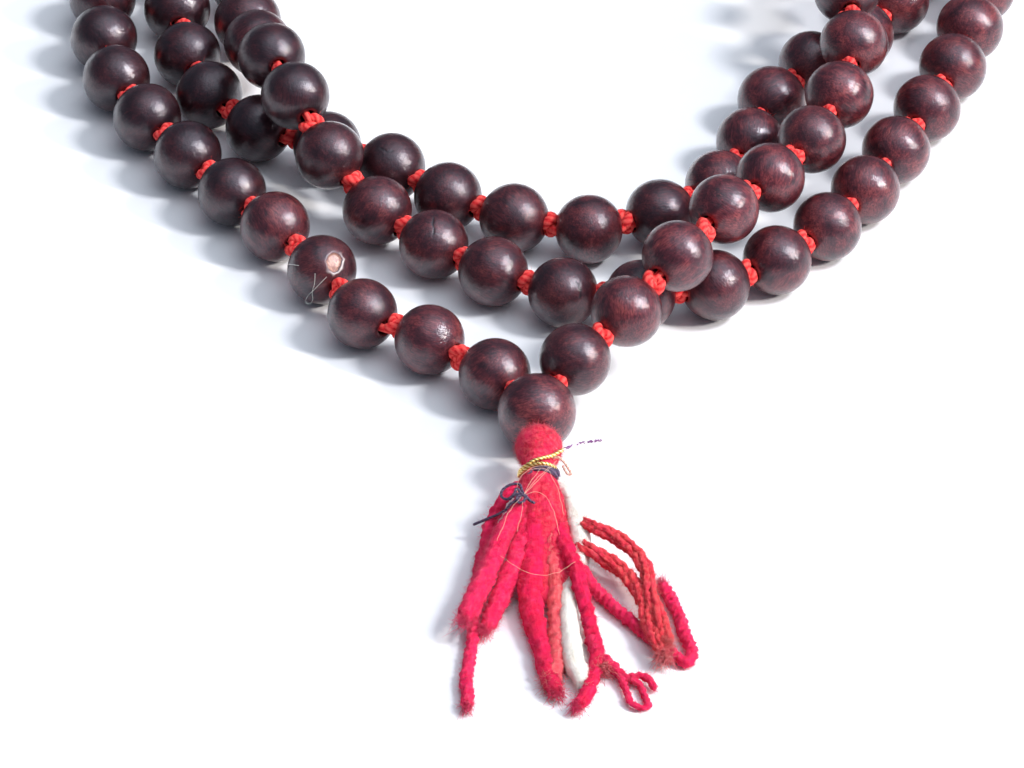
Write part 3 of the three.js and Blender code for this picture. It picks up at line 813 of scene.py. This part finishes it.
def felt_head():
    """The wound felt ball under the guru bead, with its neck."""
    rng = np.random.default_rng(11)
    surface = Surface()
    outline, _, _ = smooth_path([(across, along, 0) for across, along in HEAD_OUTLINE], 1 / 6)
    sides = 72
    angle = np.arange(sides) / sides * 2 * math.pi
    across, along = outline[:, 0], outline[:, 1]
    local = np.stack([
        across[:, None] * np.sin(angle), along[:, None] * np.ones(sides), across[:, None] * np.cos(angle),
    ], axis=-1).reshape(-1, 3)
    wound = 0.05 * np.sin(local[:, 1] * 5.5 + 2 * np.arctan2(local[:, 0], local[:, 2]))
    out = unit(local * (1, 0, 1))
    local = local + out * (lumps(local, 0.8, 0.10, 3.0) + lumps(local, 0.28, 0.09, 9.0) + wound)[:, None]
    hubs = np.array([(0, -0.02, 0), (0, 6.7, 0)])
    points = turned(np.concatenate([local, hubs]), HEAD_DIRECTION) + HEAD_START
    total = len(outline) * sides
    caps = np.concatenate([
        fan_faces(0, sides, total, False), fan_faces(total - sides, sides, total + 1, True),
    ])
    height = np.clip(0.5 + lumps(points, 0.3, 0.6, 5.0), 0, 1)
    surface.add(points, grid_faces(len(outline), sides, False)[:, ::-1], caps, grain=points, height=height)
    ball = local[:, 1] < BALL_END
    normals = unit(turned(local - (0, BALL_MIDDLE, 0), HEAD_DIRECTION))
    add_nap(surface, points[:total][ball], normals[ball], 5200, 0.34, rng, 0.7)
    return surface


felt_head().build("felt_head", FELT_WOOL, "tassel_top", "tassel_felt", ["tassel_head"])


def coil_path(start, end, radius, turns, slant, phase=0.0):
    """A winding round the tassel's neck. Slant carries its right side back towards the ball."""
    steps = int(turns * 24) + 1
    share = np.linspace(0, 1, steps)
    angle = share * turns * 2 * math.pi + phase
    along = start + (end - start) * share - slant * np.cos(angle)
    local = np.stack([radius * np.cos(angle), along, radius * np.sin(angle)], axis=-1)
    return turned(local, HEAD_DIRECTION) + BINDING_CENTRE


binding = Surface()
inner_turns = coil_path(6.55, 7.65, radius=1.76, turns=5, slant=0.2)
outer_turns = coil_path(6.6, 7.5, radius=1.90, turns=3, slant=-0.2, phase=1.0)
rng = np.random.default_rng(5)
add_rope(binding, inner_turns, 0.2, **BINDING_THREAD, rng=rng, hairs=90, hair_length=0.4)
add_rope(binding, outer_turns, 0.17, **BINDING_THREAD)
binding.build("neck_winding", NAVY_THREAD, "tassel_top", "navy_thread", ["neck_binding"])

# The gold thread's first turn, over the front and round the back, and its second, which leaves as the tail.
GOLD_ROUTE = [
    (-1.0, -11.0, 3.3), (-1.95, -11.5, 4.3), (-1.45, -12.05, 5.4), (-0.5, -12.0, 6.15), (0.5, -12.05, 6.4),
    (1.4, -11.9, 6.05), (2.0, -11.5, 5.2), (2.05, -11.2, 4.3), (1.4, -11.0, 3.2), (0.3, -10.9, 2.85),
    (-1.0, -10.8, 3.1), (-1.85, -10.95, 4.2), (-1.70, -11.5, 5.2), (-1.1, -11.75, 5.95), (-0.3, -11.5, 6.4),
    (0.6, -11.2, 6.5), (1.6, -10.5, 6.3), (2.5, -9.95, 6.5), (3.2, -9.6, 6.65), (4.6, -9.0, 6.8),
    (5.9, -8.9, 7.0), (7.1, -8.8, 7.1),
]
# The foil ends this far to the right on the tail, and only the core goes on.
FOIL_END = 2.6
gold = Surface()
gold_path, gold_share, _ = smooth_path(GOLD_ROUTE, 0.12)
beyond = (gold_share > 0.5) * np.clip((gold_path[:, 0] - FOIL_END) / 0.5, 0, 1)
add_rope(gold, gold_path, 0.24 - 0.06 * beyond, **GOLD_FOIL, mark=beyond)
gold.build("gold_winding", GOLD_THREAD, "tassel_top", "gold_thread", ["gold_thread"])

# The tie's bow and tail, then its knot with the other end.
TIE_LOOP = [
    (-0.9, -17.3, 5.5), (-1.6, -16.2, 5.8), (-1.9, -15.1, 5.9), (-2.8, -15.0, 5.8), (-3.7, -15.3, 5.3),
    (-3.85, -15.8, 4.9), (-3.2, -16.8, 5.2), (-2.5, -16.6, 5.7), (-2.2, -15.8, 5.9), (-1.8, -16.6, 5.8),
    (-1.9, -17.4, 5.7), (-2.8, -17.7, 5.3), (-3.3, -17.8, 4.6), (-4.2, -17.5, 3.7), (-5.2, -17.4, 3.1),
    (-6.8, -17.2, 2.1),
]
TIE_KNOT = [
    (-3.0, -17.0, 5.3), (-2.3, -16.9, 5.9), (-1.6, -16.9, 6.0), (-1.3, -17.6, 5.8), (-1.9, -18.0, 5.6),
    (-2.2, -17.4, 5.9), (-1.4, -17.2, 6.0), (-0.9, -17.6, 5.7), (-0.3, -17.9, 5.5),
]
tie = Surface()
for route in (TIE_LOOP, TIE_KNOT):
    path, _, _ = smooth_path(route, 0.2)
    add_rope(tie, path, 0.16, **TIE_THREAD, rng=np.random.default_rng(8), hairs=90, hair_length=0.35)
tie.build("tie_bow", NAVY_THREAD, "tassel_bottom", "navy_thread", ["tie_thread"])

# The skirt from the neck down: y, middle x, half width, middle z and half height.
SKIRT_ROWS = [
    (-11.2, 0.05, 1.45, 4.40, 1.40), (-12.0, 0.03, 1.85, 4.25, 1.68), (-13.4, 0.22, 2.12, 4.00, 1.78),
    (-14.8, 0.33, 2.42, 3.72, 1.78), (-16.4, 0.36, 2.68, 3.30, 1.72), (-18.2, 0.44, 2.80, 2.80, 1.60),
    (-20.0, 0.62, 2.95, 2.35, 1.42), (-21.8, 0.90, 3.22, 1.95, 1.25), (-23.4, 1.18, 3.45, 1.66, 1.10),
    (-25.0, 1.46, 3.68, 1.42, 0.98), (-26.6, 1.62, 3.72, 1.22, 0.85), (-28.0, 1.60, 3.45, 1.05, 0.66),
    (-29.0, 1.50, 2.70, 0.95, 0.30),
]


def felt_skirt():
    """The felted bundle under the neck: rounded folds that fan out, flatten and end in brushed wool."""
    rng = np.random.default_rng(21)
    surface = Surface()
    rows = np.array(SKIRT_ROWS[::-1])
    count = 76
    sides = 110
    y = np.linspace(rows[-1, 0], rows[0, 0], count)
    middle_x, half_wide, middle_z, half_high = (np.interp(y, rows[:, 0], rows[:, k]) for k in (1, 2, 3, 4))
    angle = np.arange(sides)[None, :] / sides * 2 * math.pi
    share = np.linspace(0, 1, count)[:, None]
    folds = 1 + (0.03 + 0.07 * share) * (np.abs(np.sin(5.5 * angle + 0.9 * np.sin(3 * share))) - 0.6)
    x = middle_x[:, None] + half_wide[:, None] * np.cos(angle) * folds
    z = middle_z[:, None] + half_high[:, None] * np.sin(angle) * folds
    ragged = 0.9 * share ** 6 * np.sin(7 * angle + 1.3) * np.sin(3.2 * angle)
    points = np.stack([x, y[:, None] + ragged, z], axis=-1).reshape(-1, 3)
    centres = np.stack([middle_x, y, middle_z], axis=-1)
    out = unit(points - np.repeat(centres, sides, axis=0))
    points = points + out * (lumps(points, 0.9, 0.12, 2.0) + lumps(points, 0.3, 0.10, 6.0))[:, None]
    points[:, 2] = np.maximum(points[:, 2], TABLE_CLEARANCE)
    total = count * sides
    points = np.concatenate([points, centres[:1] + (0, 0.3, 0), centres[-1:] - (0, 0.2, 0)])
    caps = np.concatenate([
        fan_faces(0, sides, total, True), fan_faces(total - sides, sides, total + 1, False),
    ])
    height = np.clip(0.5 + lumps(points, 0.45, 0.4, 4.0), 0, 1)
    lie = points[:, [0, 2, 1]] * 0.6
    surface.add(points, grid_faces(count, sides, False), caps, grain=points, height=height, lie=lie)
    upper = out[:, 2] > -0.3
    add_nap(surface, points[:total][upper], out[upper], 7000, 0.42, rng, lean=(0, -0.5, 0))
    return surface


felt_skirt().build("felt_skirt", FELT_WOOL, "tassel_bottom", "tassel_felt", ["tassel_skirt"])

# Each yarn: its wool, how many fibres its nap has, the pitch and depth of its plies, its route from the
# neck to its end, and its radius along it. The orange ones are each four strands wound together, and
# the fork's three pieces are part of the forked yarn.
YARNS = {
    "left_long": dict(
        material=PINK_WOOL, slot="magenta_yarn", nap=3200, twist=1.9, ply=0.26,
        route=[
            (-1.0, -12.0, 4.0), (-2.6, -13.4, 3.9), (-3.9, -15.1, 3.4), (-5.0, -17.2, 2.2),
            (-5.5, -19.6, 1.3), (-6.1, -23.0, 0.85), (-6.5, -28.0, 0.8), (-6.7, -33.4, 0.8),
            (-6.9, -36.2, 0.8), (-7.35, -40.7, 0.8), (-7.25, -46.6, 0.8),
        ],
        radii=[0.5, 0.66, 0.72, 0.70, 0.68, 0.66, 0.66, 0.66, 0.68, 0.72, 0.68],
    ),
    "left_front": dict(
        material=PINK_WOOL, slot="magenta_yarn", nap=5200, twist=9, ply=0.08,
        route=[
            (-0.5, -12.6, 4.2), (-0.9, -14.0, 4.1), (-1.6, -15.8, 4.0), (-2.4, -17.8, 3.95),
            (-3.4, -20.4, 3.75), (-4.4, -23.6, 3.4), (-5.1, -26.0, 3.1), (-5.9, -28.6, 2.9),
            (-6.9, -32.0, 2.85), (-7.75, -34.8, 2.8),
        ],
        radii=[0.7, 0.9, 1.0, 1.05, 1.1, 1.1, 1.1, 1.15, 1.15, 0.8],
    ),
    "left_inner": dict(
        material=PINK_WOOL, slot="magenta_yarn", nap=4600, twist=7, ply=0.12,
        route=[
            (-0.3, -12.8, 4.0), (-0.8, -16.4, 3.2), (-1.5, -20.2, 2.7), (-2.2, -23.4, 2.4),
            (-3.1, -26.4, 2.0), (-4.2, -30.2, 1.5), (-5.5, -34.4, 1.15),
        ],
        radii=[0.7, 1.0, 1.15, 1.15, 1.1, 1.05, 0.75],
    ),
    "centre_crimson": dict(
        material=CRIMSON_WOOL, slot="crimson_yarn", nap=5600, twist=6, ply=0.12,
        route=[
            (-0.1, -12.6, 4.6), (-0.2, -16.4, 3.6), (-0.4, -20.4, 2.7), (-0.6, -24.4, 2.0),
            (-0.75, -28.0, 1.65), (-0.6, -31.0, 1.3), (-0.2, -33.9, 1.15), (0.5, -37.5, 1.0),
            (1.0, -41.3, 1.0), (2.0, -44.3, 0.95),
        ],
        radii=[0.8, 1.2, 1.35, 1.4, 1.4, 1.3, 1.15, 1.0, 1.0, 0.95],
    ),
    "centre_orange": dict(
        material=CORAL_WOOL, slot="orange_yarn", nap=4200, twist=5, ply=0.16,
        route=[
            (0.6, -12.8, 4.4), (1.0, -17.2, 3.4), (1.5, -21.8, 2.3), (1.8, -26.0, 1.7), (1.85, -29.6, 1.3),
            (1.85, -33.0, 1.05), (1.95, -37.0, 0.95), (1.75, -41.0, 0.95), (1.2, -43.0, 0.9),
        ],
        radii=[0.6, 0.85, 0.95, 0.9, 0.82, 0.8, 0.85, 0.95, 0.85],
    ),
    "white": dict(
        material=WHITE_WOOL, slot="white_yarn", nap=3000, twist=16, ply=0.05, crinkle=0.5,
        route=[
            (1.1, -11.9, 4.3), (2.3, -12.7, 4.1), (3.3, -14.0, 3.8), (3.9, -16.0, 3.2), (4.4, -18.4, 2.6),
            (4.7, -20.8, 1.9), (4.2, -24.2, 1.3), (3.3, -27.4, 1.25), (3.2, -30.4, 1.2),
            (3.35, -34.6, 1.15), (3.75, -39.2, 1.1), (4.8, -43.4, 0.95),
        ],
        radii=[0.55, 0.85, 1.05, 1.1, 1.05, 0.9, 0.9, 1.0, 1.05, 1.15, 1.2, 0.75],
    ),
    "right_forked": dict(
        material=CRIMSON_WOOL, slot="crimson_yarn", nap=5000, twist=3.2, ply=0.18,
        route=[
            (0.8, -12.8, 4.0), (1.5, -16.6, 3.2), (2.4, -20.2, 2.7), (3.4, -23.4, 2.55),
            (4.15, -26.0, 2.55), (4.5, -28.4, 2.35), (5.05, -31.2, 1.75), (5.5, -33.7, 1.4),
            (5.9, -36.2, 1.15), (6.15, -38.5, 1.05), (5.8, -41.2, 0.95), (5.15, -44.2, 0.95),
            (4.0, -46.6, 0.9),
        ],
        radii=[0.7, 0.95, 1.05, 1.0, 0.92, 0.85, 0.82, 0.82, 0.8, 0.74, 0.76, 0.82, 0.76],
    ),
    "orange_outer": dict(
        material=RED_WOOL, slot="orange_yarn", nap=1500, twist=3.4, ply=0.2, strands=4,
        route=[
            (2.0, -15.6, 1.9), (3.4, -16.6, 2.2), (4.6, -17.9, 2.9), (5.6, -19.1, 3.4), (6.6, -19.9, 3.5),
            (8.7, -21.4, 3.3), (10.4, -23.3, 3.0), (11.4, -25.9, 2.8), (11.8, -29.1, 2.5),
            (12.3, -31.8, 2.3), (13.0, -34.6, 2.2), (13.5, -37.4, 2.1),
        ],
        radii=[0.6, 0.8, 0.85, 0.88, 0.88, 0.88, 0.85, 0.8, 0.8, 0.8, 0.8, 0.7],
    ),
    "orange_inner": dict(
        material=RED_WOOL, slot="orange_yarn", nap=1500, twist=3.0, ply=0.2, strands=4,
        route=[
            (2.2, -18.6, 1.6), (3.8, -20.4, 1.9), (5.0, -21.6, 2.4), (6.0, -22.6, 2.5), (7.1, -23.6, 2.4),
            (9.0, -25.5, 2.2), (10.4, -27.8, 2.0), (11.2, -30.5, 1.9), (11.5, -33.4, 1.9),
            (12.2, -36.4, 1.95), (13.0, -38.9, 1.8),
        ],
        radii=[0.6, 0.9, 0.95, 0.95, 0.95, 0.95, 0.9, 0.85, 0.8, 0.8, 0.7],
    ),
    "pink_loop": dict(
        material=PINK_WOOL, slot="magenta_yarn", nap=3600, twist=1.9, ply=0.26,
        route=[
            (2.7, -20.0, 2.0), (4.0, -22.8, 1.6), (5.0, -24.8, 1.35), (6.0, -26.7, 0.95),
            (7.1, -28.4, 0.8), (8.4, -30.3, 0.8), (10.4, -33.1, 0.8), (12.4, -35.8, 0.8),
            (14.4, -38.1, 0.8), (15.5, -39.2, 0.8), (16.0, -38.0, 0.8), (15.7, -35.7, 0.8),
            (15.2, -33.5, 0.8), (14.7, -30.8, 0.8), (13.9, -28.2, 0.8), (13.0, -25.7, 0.8),
        ],
        radii=[0.6, 0.68, 0.7, 0.7, 0.7, 0.7, 0.7, 0.7, 0.66, 0.62, 0.64, 0.7, 0.7, 0.7, 0.7, 0.64],
    ),
    "fork_branch": dict(
        material=PINK_WOOL, slot="crimson_yarn", part_of="right_forked", nap=900, twist=2.4, ply=0.2,
        route=[(5.4, -35.8, 1.2), (6.2, -38.0, 1.1), (7.5, -39.8, 1.0), (8.6, -41.2, 0.8), (9.5, -42.1, 0.7)],
        radii=[0.7, 0.7, 0.66, 0.6, 0.45],
    ),
    "fork_loop": dict(
        material=PINK_WOOL, slot="crimson_yarn", part_of="right_forked", nap=500, twist=1.6, ply=0.2,
        route=[
            (8.4, -41.0, 0.8), (8.75, -42.4, 0.7), (9.2, -44.1, 0.6), (9.7, -45.6, 0.5),
            (10.6, -46.4, 0.5), (11.35, -45.8, 0.5), (11.1, -44.6, 0.5), (10.8, -43.3, 0.5),
            (10.3, -42.3, 0.6), (9.4, -41.8, 0.7),
        ],
        radii=[0.4, 0.38, 0.36, 0.36, 0.36, 0.36, 0.36, 0.36, 0.36, 0.36],
    ),
    "fork_stub": dict(
        material=PINK_WOOL, slot="crimson_yarn", part_of="right_forked", nap=300, twist=1.6, ply=0.2,
        route=[(9.3, -41.6, 0.7), (10.9, -41.5, 0.8), (11.7, -42.4, 0.7), (12.1, -43.4, 0.6)],
        radii=[0.4, 0.38, 0.38, 0.34],
    ),
}
YARN_STEP = 0.2
YARN_SIDES = 22
YARN_HAIR = 0.42
STRAND_SHARE = 0.46
FIRST_YARN_SEED = 31.0


def strand_paths(path, run, strands, twist, spread):
    """The paths of a yarn's strands, wound round its own."""
    if strands == 1:
        return [path]
    _, across, up = path_frames(path)
    share = np.linspace(0, 1, len(path))
    turns = share * run / (twist * 8) * 2 * math.pi
    return [
        path + spread[:, None] * (
            across * np.cos(turns + phase)[:, None] * 1.25 + up * np.sin(turns + phase)[:, None] * 0.75
        )
        for phase in np.arange(strands) / strands * 2 * math.pi
    ]


def add_yarn(surface, yarn, seed):
    """A wool yarn with a crinkled, brushed surface and a rounded, tufted end."""
    rng = np.random.default_rng(int(seed))
    radii, twist, nap = yarn["radii"], yarn["twist"], yarn["nap"]
    strands = yarn.get("strands", 1)
    crinkle = yarn.get("crinkle", 1.0)
    path, share, run = smooth_path(yarn["route"], YARN_STEP)
    radius = np.interp(share, np.linspace(0, 1, len(radii)), radii)
    wobble = np.stack([lumps(path, 1.6, 0.10, seed + k * 7.0) for k in range(3)], axis=1)
    path = path + wobble * (1, 1, 0.4)
    if strands > 1:
        radius = radius * STRAND_SHARE
    tip = np.clip((1 - share) * run / (radius * 1.2), 0.02, 1)
    tip = np.sqrt(1 - (1 - tip) ** 2)
    shape = ply_shape(2, run / twist, yarn["ply"])
    turn = np.arange(YARN_SIDES) / YARN_SIDES * 2 * math.pi
    for number, line in enumerate(strand_paths(path, run, strands, twist, radius * 0.95 * tip)):
        points, faces, caps, normals = sweep(line, radius * tip, YARN_SIDES, shape)
        calm = np.append(np.repeat(np.minimum(tip * 1.1, 1) ** 2, YARN_SIDES), (1, 0))
        rough = crinkle * (lumps(points, 0.6, 0.20, seed + number) + lumps(points, 0.24, 0.15, seed + 3.0))
        points = points + normals * (rough * calm)[:, None]
        points[:, 2] = np.maximum(points[:, 2], TABLE_CLEARANCE)
        lie = np.stack([
            np.tile(np.cos(turn), len(line)) * 0.9, np.tile(np.sin(turn), len(line)) * 0.9,
            np.repeat(share * run, YARN_SIDES),
        ], axis=1)
        lie = np.concatenate([lie, lie[:1], lie[-1:]]) + seed * 11 + number * 5
        # The wool is painted darker in the yarn's hollows and lighter on its bumps, as painted shade and
        # light.
        surface.add(points, faces, caps, grain=points, height=np.clip(0.5 + rough * 1.7, 0, 1), lie=lie)
        add_nap(surface, points, normals, nap, YARN_HAIR, rng)
        add_tuft(surface, line[-4:], radius[-4], unit(line[-1] - line[-5]), nap // 16, rng)


def add_tuft(surface, places, spread, way, count, rng, length=1.0):
    """A brush of fibres round some places, that leans one way."""
    roots = places[rng.integers(0, len(places), count)] + rng.normal(size=(count, 3)) * spread * 0.4
    away = unit(np.asarray(way) + rng.normal(size=(count, 3)) * 0.5)
    tuft = hair_mesh(roots, away, rng.uniform(0.4, 1.0, count) * length, TUFT_RADIUS, rng, 0.5)
    surface.add(*tuft, grain=tuft[0], height=0.9)


for index, (name, yarn) in enumerate(YARNS.items()):
    surface = Surface()
    add_yarn(surface, yarn, FIRST_YARN_SEED + index)
    nodes = [f"yarn_{yarn.get('part_of', name)}"]
    piece = surface.build(f"wool_{name}", yarn["material"], "tassel_bottom", yarn["slot"], nodes)
    path, _, run = smooth_path(yarn["route"], YARN_STEP)

# Fluffy ends of coral wool, beside the forked yarn, at the end of the orange pair and of the centre one.
tufts = Surface()
for place, way, spread, count in (
    ((6.6, -40.4, 1.0), (0.5, -0.6, 0.1), 0.8, 190), ((13.2, -38.9, 1.3), (-0.3, -0.8, 0), 0.9, 240),
    ((1.4, -42.0, 1.0), (-0.2, -0.8, 0), 0.9, 200),
):
    add_tuft(tufts, np.array([place]), spread, way, count, np.random.default_rng(count), 1.3)
tufts.build("coral_tufts", CORAL_WOOL, "tassel_bottom", "orange_yarn")

# Stray golden fibres caught in the knot of the tie, over the skirt.
STRAYS = [
    [(-1.5, -17.2, 6.0), (-0.3, -15.6, 6.3), (1.0, -13.6, 6.5), (1.9, -12.0, 6.3)],
    [(-1.4, -17.0, 6.0), (0.1, -14.6, 6.5), (1.5, -12.6, 6.5), (2.1, -11.4, 6.2)],
    [(-1.6, -17.4, 5.9), (-0.6, -15.0, 6.4), (0.3, -13.2, 6.6)],
    [(-0.9, -13.2, 6.4), (0.8, -13.1, 6.5), (1.8, -14.6, 6.0), (2.5, -17.0, 5.2), (2.8, -18.8, 4.6)],
    [(-1.4, -17.2, 6.0), (0.0, -16.7, 6.1), (1.2, -17.6, 5.6), (1.9, -19.6, 5.0), (2.3, -21.8, 4.3)],
    [(-3.9, -25.4, 4.3), (-2.4, -26.6, 3.8), (-0.5, -27.6, 3.5), (1.8, -27.5, 3.5), (4.0, -26.0, 3.9)],
    [(-1.5, -17.4, 6.0), (-1.7, -19.6, 5.4), (-2.1, -22.0, 4.9)],
    [(-1.6, -17.3, 6.0), (-2.9, -19.2, 5.6), (-3.6, -21.4, 5.2), (-4.3, -23.4, 4.7)],
    [(-2.2, -16.8, 5.9), (-2.0, -14.6, 6.2), (-0.6, -13.0, 6.5), (1.2, -12.4, 6.5)],
]
STRAY_RADIUS = 0.016
strays = Surface()
for route in STRAYS:
    path, _, _ = smooth_path(route, 0.3)
    path = path + np.stack([lumps(path, 0.8, 0.12, k * 5.0) for k in range(3)], axis=1)
    points, faces, caps, _ = sweep(path, STRAY_RADIUS, 5)
    strays.add(points, faces, caps, grain=points, height=0.6)
strays.build("golden_strays", GOLD_HAIR, "tassel_bottom", "tassel_felt")

# A small curl of tan thread under the gold one, on the right.
curl = Surface()
curl_path, _, _ = smooth_path([
    (1.7, -10.2, 5.7), (2.2, -10.2, 5.85), (2.8, -10.6, 5.6), (3.35, -11.4, 5.2), (3.65, -12.1, 5.0),
    (3.3, -12.0, 4.9), (2.75, -10.9, 5.2),
], 0.15)
add_rope(curl, curl_path, 0.15, **CURL_THREAD, rng=np.random.default_rng(4), hairs=60, hair_length=0.3)
curl.build("tan_curl", TAN_THREAD, "tassel_top", "gold_thread")

# White lint on the fourth bead, one fibre curled and one straight: shares of the bead's radius to the
# right and up as seen from the front, and out from its middle.
LINT_FIBRES = [
    [
        (0.16, -0.22, 1.0), (-0.02, -0.40, 1.0), (-0.22, -0.60, 1.02), (-0.40, -0.78, 1.06),
        (-0.44, -0.92, 1.14), (-0.33, -0.97, 1.16), (-0.24, -0.86, 1.1), (-0.25, -0.66, 1.05),
        (-0.18, -0.40, 1.03), (-0.16, -0.12, 1.01),
    ],
    [(-0.62, 0.10, 1.02), (-0.90, 0.14, 1.06), (-1.05, 0.15, 1.2)],
]
LINT_CLEARANCE = 1.005
LINT_RADIUS = 0.02


def beside_bead(number, right, up, out):
    """A place by a bead, on the side seen from the front."""
    back = math.sqrt(max(out ** 2 - right ** 2 - up ** 2, 0.02))
    return bead_centre(number) + BEAD_RADIUS * (np.array((right, 0, 0)) + VIEW_UP * up + VIEW_BACK * back)


lint = Surface()
for fibre in LINT_FIBRES:
    line = [beside_bead(4, right, up, out * LINT_CLEARANCE) for right, up, out in fibre]
    points, faces, caps, _ = sweep(smooth_path(line, 0.2)[0], LINT_RADIUS, 5)
    lint.add(points, faces, caps, grain=points, height=0.8)
lint.build("lint", WHITE_WOOL, "counting_004", "white_yarn")


# ---- The table and the light ----

TABLE_HALF = 2.5
SUN_FROM = unit(np.array((0.805, -0.276, 0.522)))
GLOW_PLACE = SUN_FROM * 1.2 + (-0.25, 0.1, 0.25)
SKY_FROM = unit(np.array((0.33, -0.07, 0.94)))
ROOM_STRENGTH = 0.20
SKY_SHARPNESS = 6.0
SKY_STRENGTH = 2.55

table_mesh = bpy.data.meshes.new("table")
corners = [(x * TABLE_HALF, y * TABLE_HALF, 0) for x, y in ((-1, -1), (1, -1), (1, 1), (-1, 1))]
table_mesh.from_pydata(corners, [], [(0, 1, 2, 3)])
table_mesh.materials.append(table_top())
table = bpy.data.objects.new("table", table_mesh)
bpy.context.scene.collection.objects.link(table)


def add_light(name, kind, place, **settings):
    """A light at a place, in metres, that points at the middle of the object."""
    data = bpy.data.lights.new(name, kind)
    for key, value in settings.items():
        setattr(data, key, value)
    light = bpy.data.objects.new(name, data)
    light.location = Vector(place)
    light.rotation_euler = Vector(-unit(np.array(place))).to_track_quat("-Z", "Y").to_euler()
    bpy.context.scene.collection.objects.link(light)
    return light


add_light("window_sun", "SUN", SUN_FROM, energy=2.4, angle=math.radians(7), color=(1.0, 0.95, 0.90))
add_light("window_glow", "AREA", GLOW_PLACE, energy=9.5, size=0.2, color=(0.93, 0.95, 1.0))

# A dim blue room, with a broad bright sky above and a little to the right.
world = bpy.data.worlds.new("studio")
bpy.context.scene.world = world
world.use_nodes = True
tree = world.node_tree
room = tree.nodes["Background"]
room.inputs["Color"].default_value = (0.68, 0.76, 1.0, 1)
room.inputs["Strength"].default_value = ROOM_STRENGTH
toward = tree.nodes.new("ShaderNodeVectorMath")
toward.operation = "DOT_PRODUCT"
toward.inputs[1].default_value = SKY_FROM
tree.links.new(tree.nodes.new("ShaderNodeTexCoord").outputs["Generated"], toward.inputs[0])
lobe = toward.outputs["Value"]
for operation, value in (("MAXIMUM", 0.0), ("POWER", SKY_SHARPNESS), ("MULTIPLY", SKY_STRENGTH)):
    step = tree.nodes.new("ShaderNodeMath")
    step.operation = operation
    step.inputs[1].default_value = value
    tree.links.new(lobe, step.inputs[0])
    lobe = step.outputs[0]
sky = tree.nodes.new("ShaderNodeBackground")
sky.inputs["Color"].default_value = (0.83, 0.91, 1.0, 1)
tree.links.new(lobe, sky.inputs["Strength"])
both = tree.nodes.new("ShaderNodeAddShader")
tree.links.new(room.outputs[0], both.inputs[0])
tree.links.new(sky.outputs[0], both.inputs[1])
tree.links.new(both.outputs[0], tree.nodes["World Output"].inputs["Surface"])
bpy.context.scene.view_settings.view_transform = "Standard"
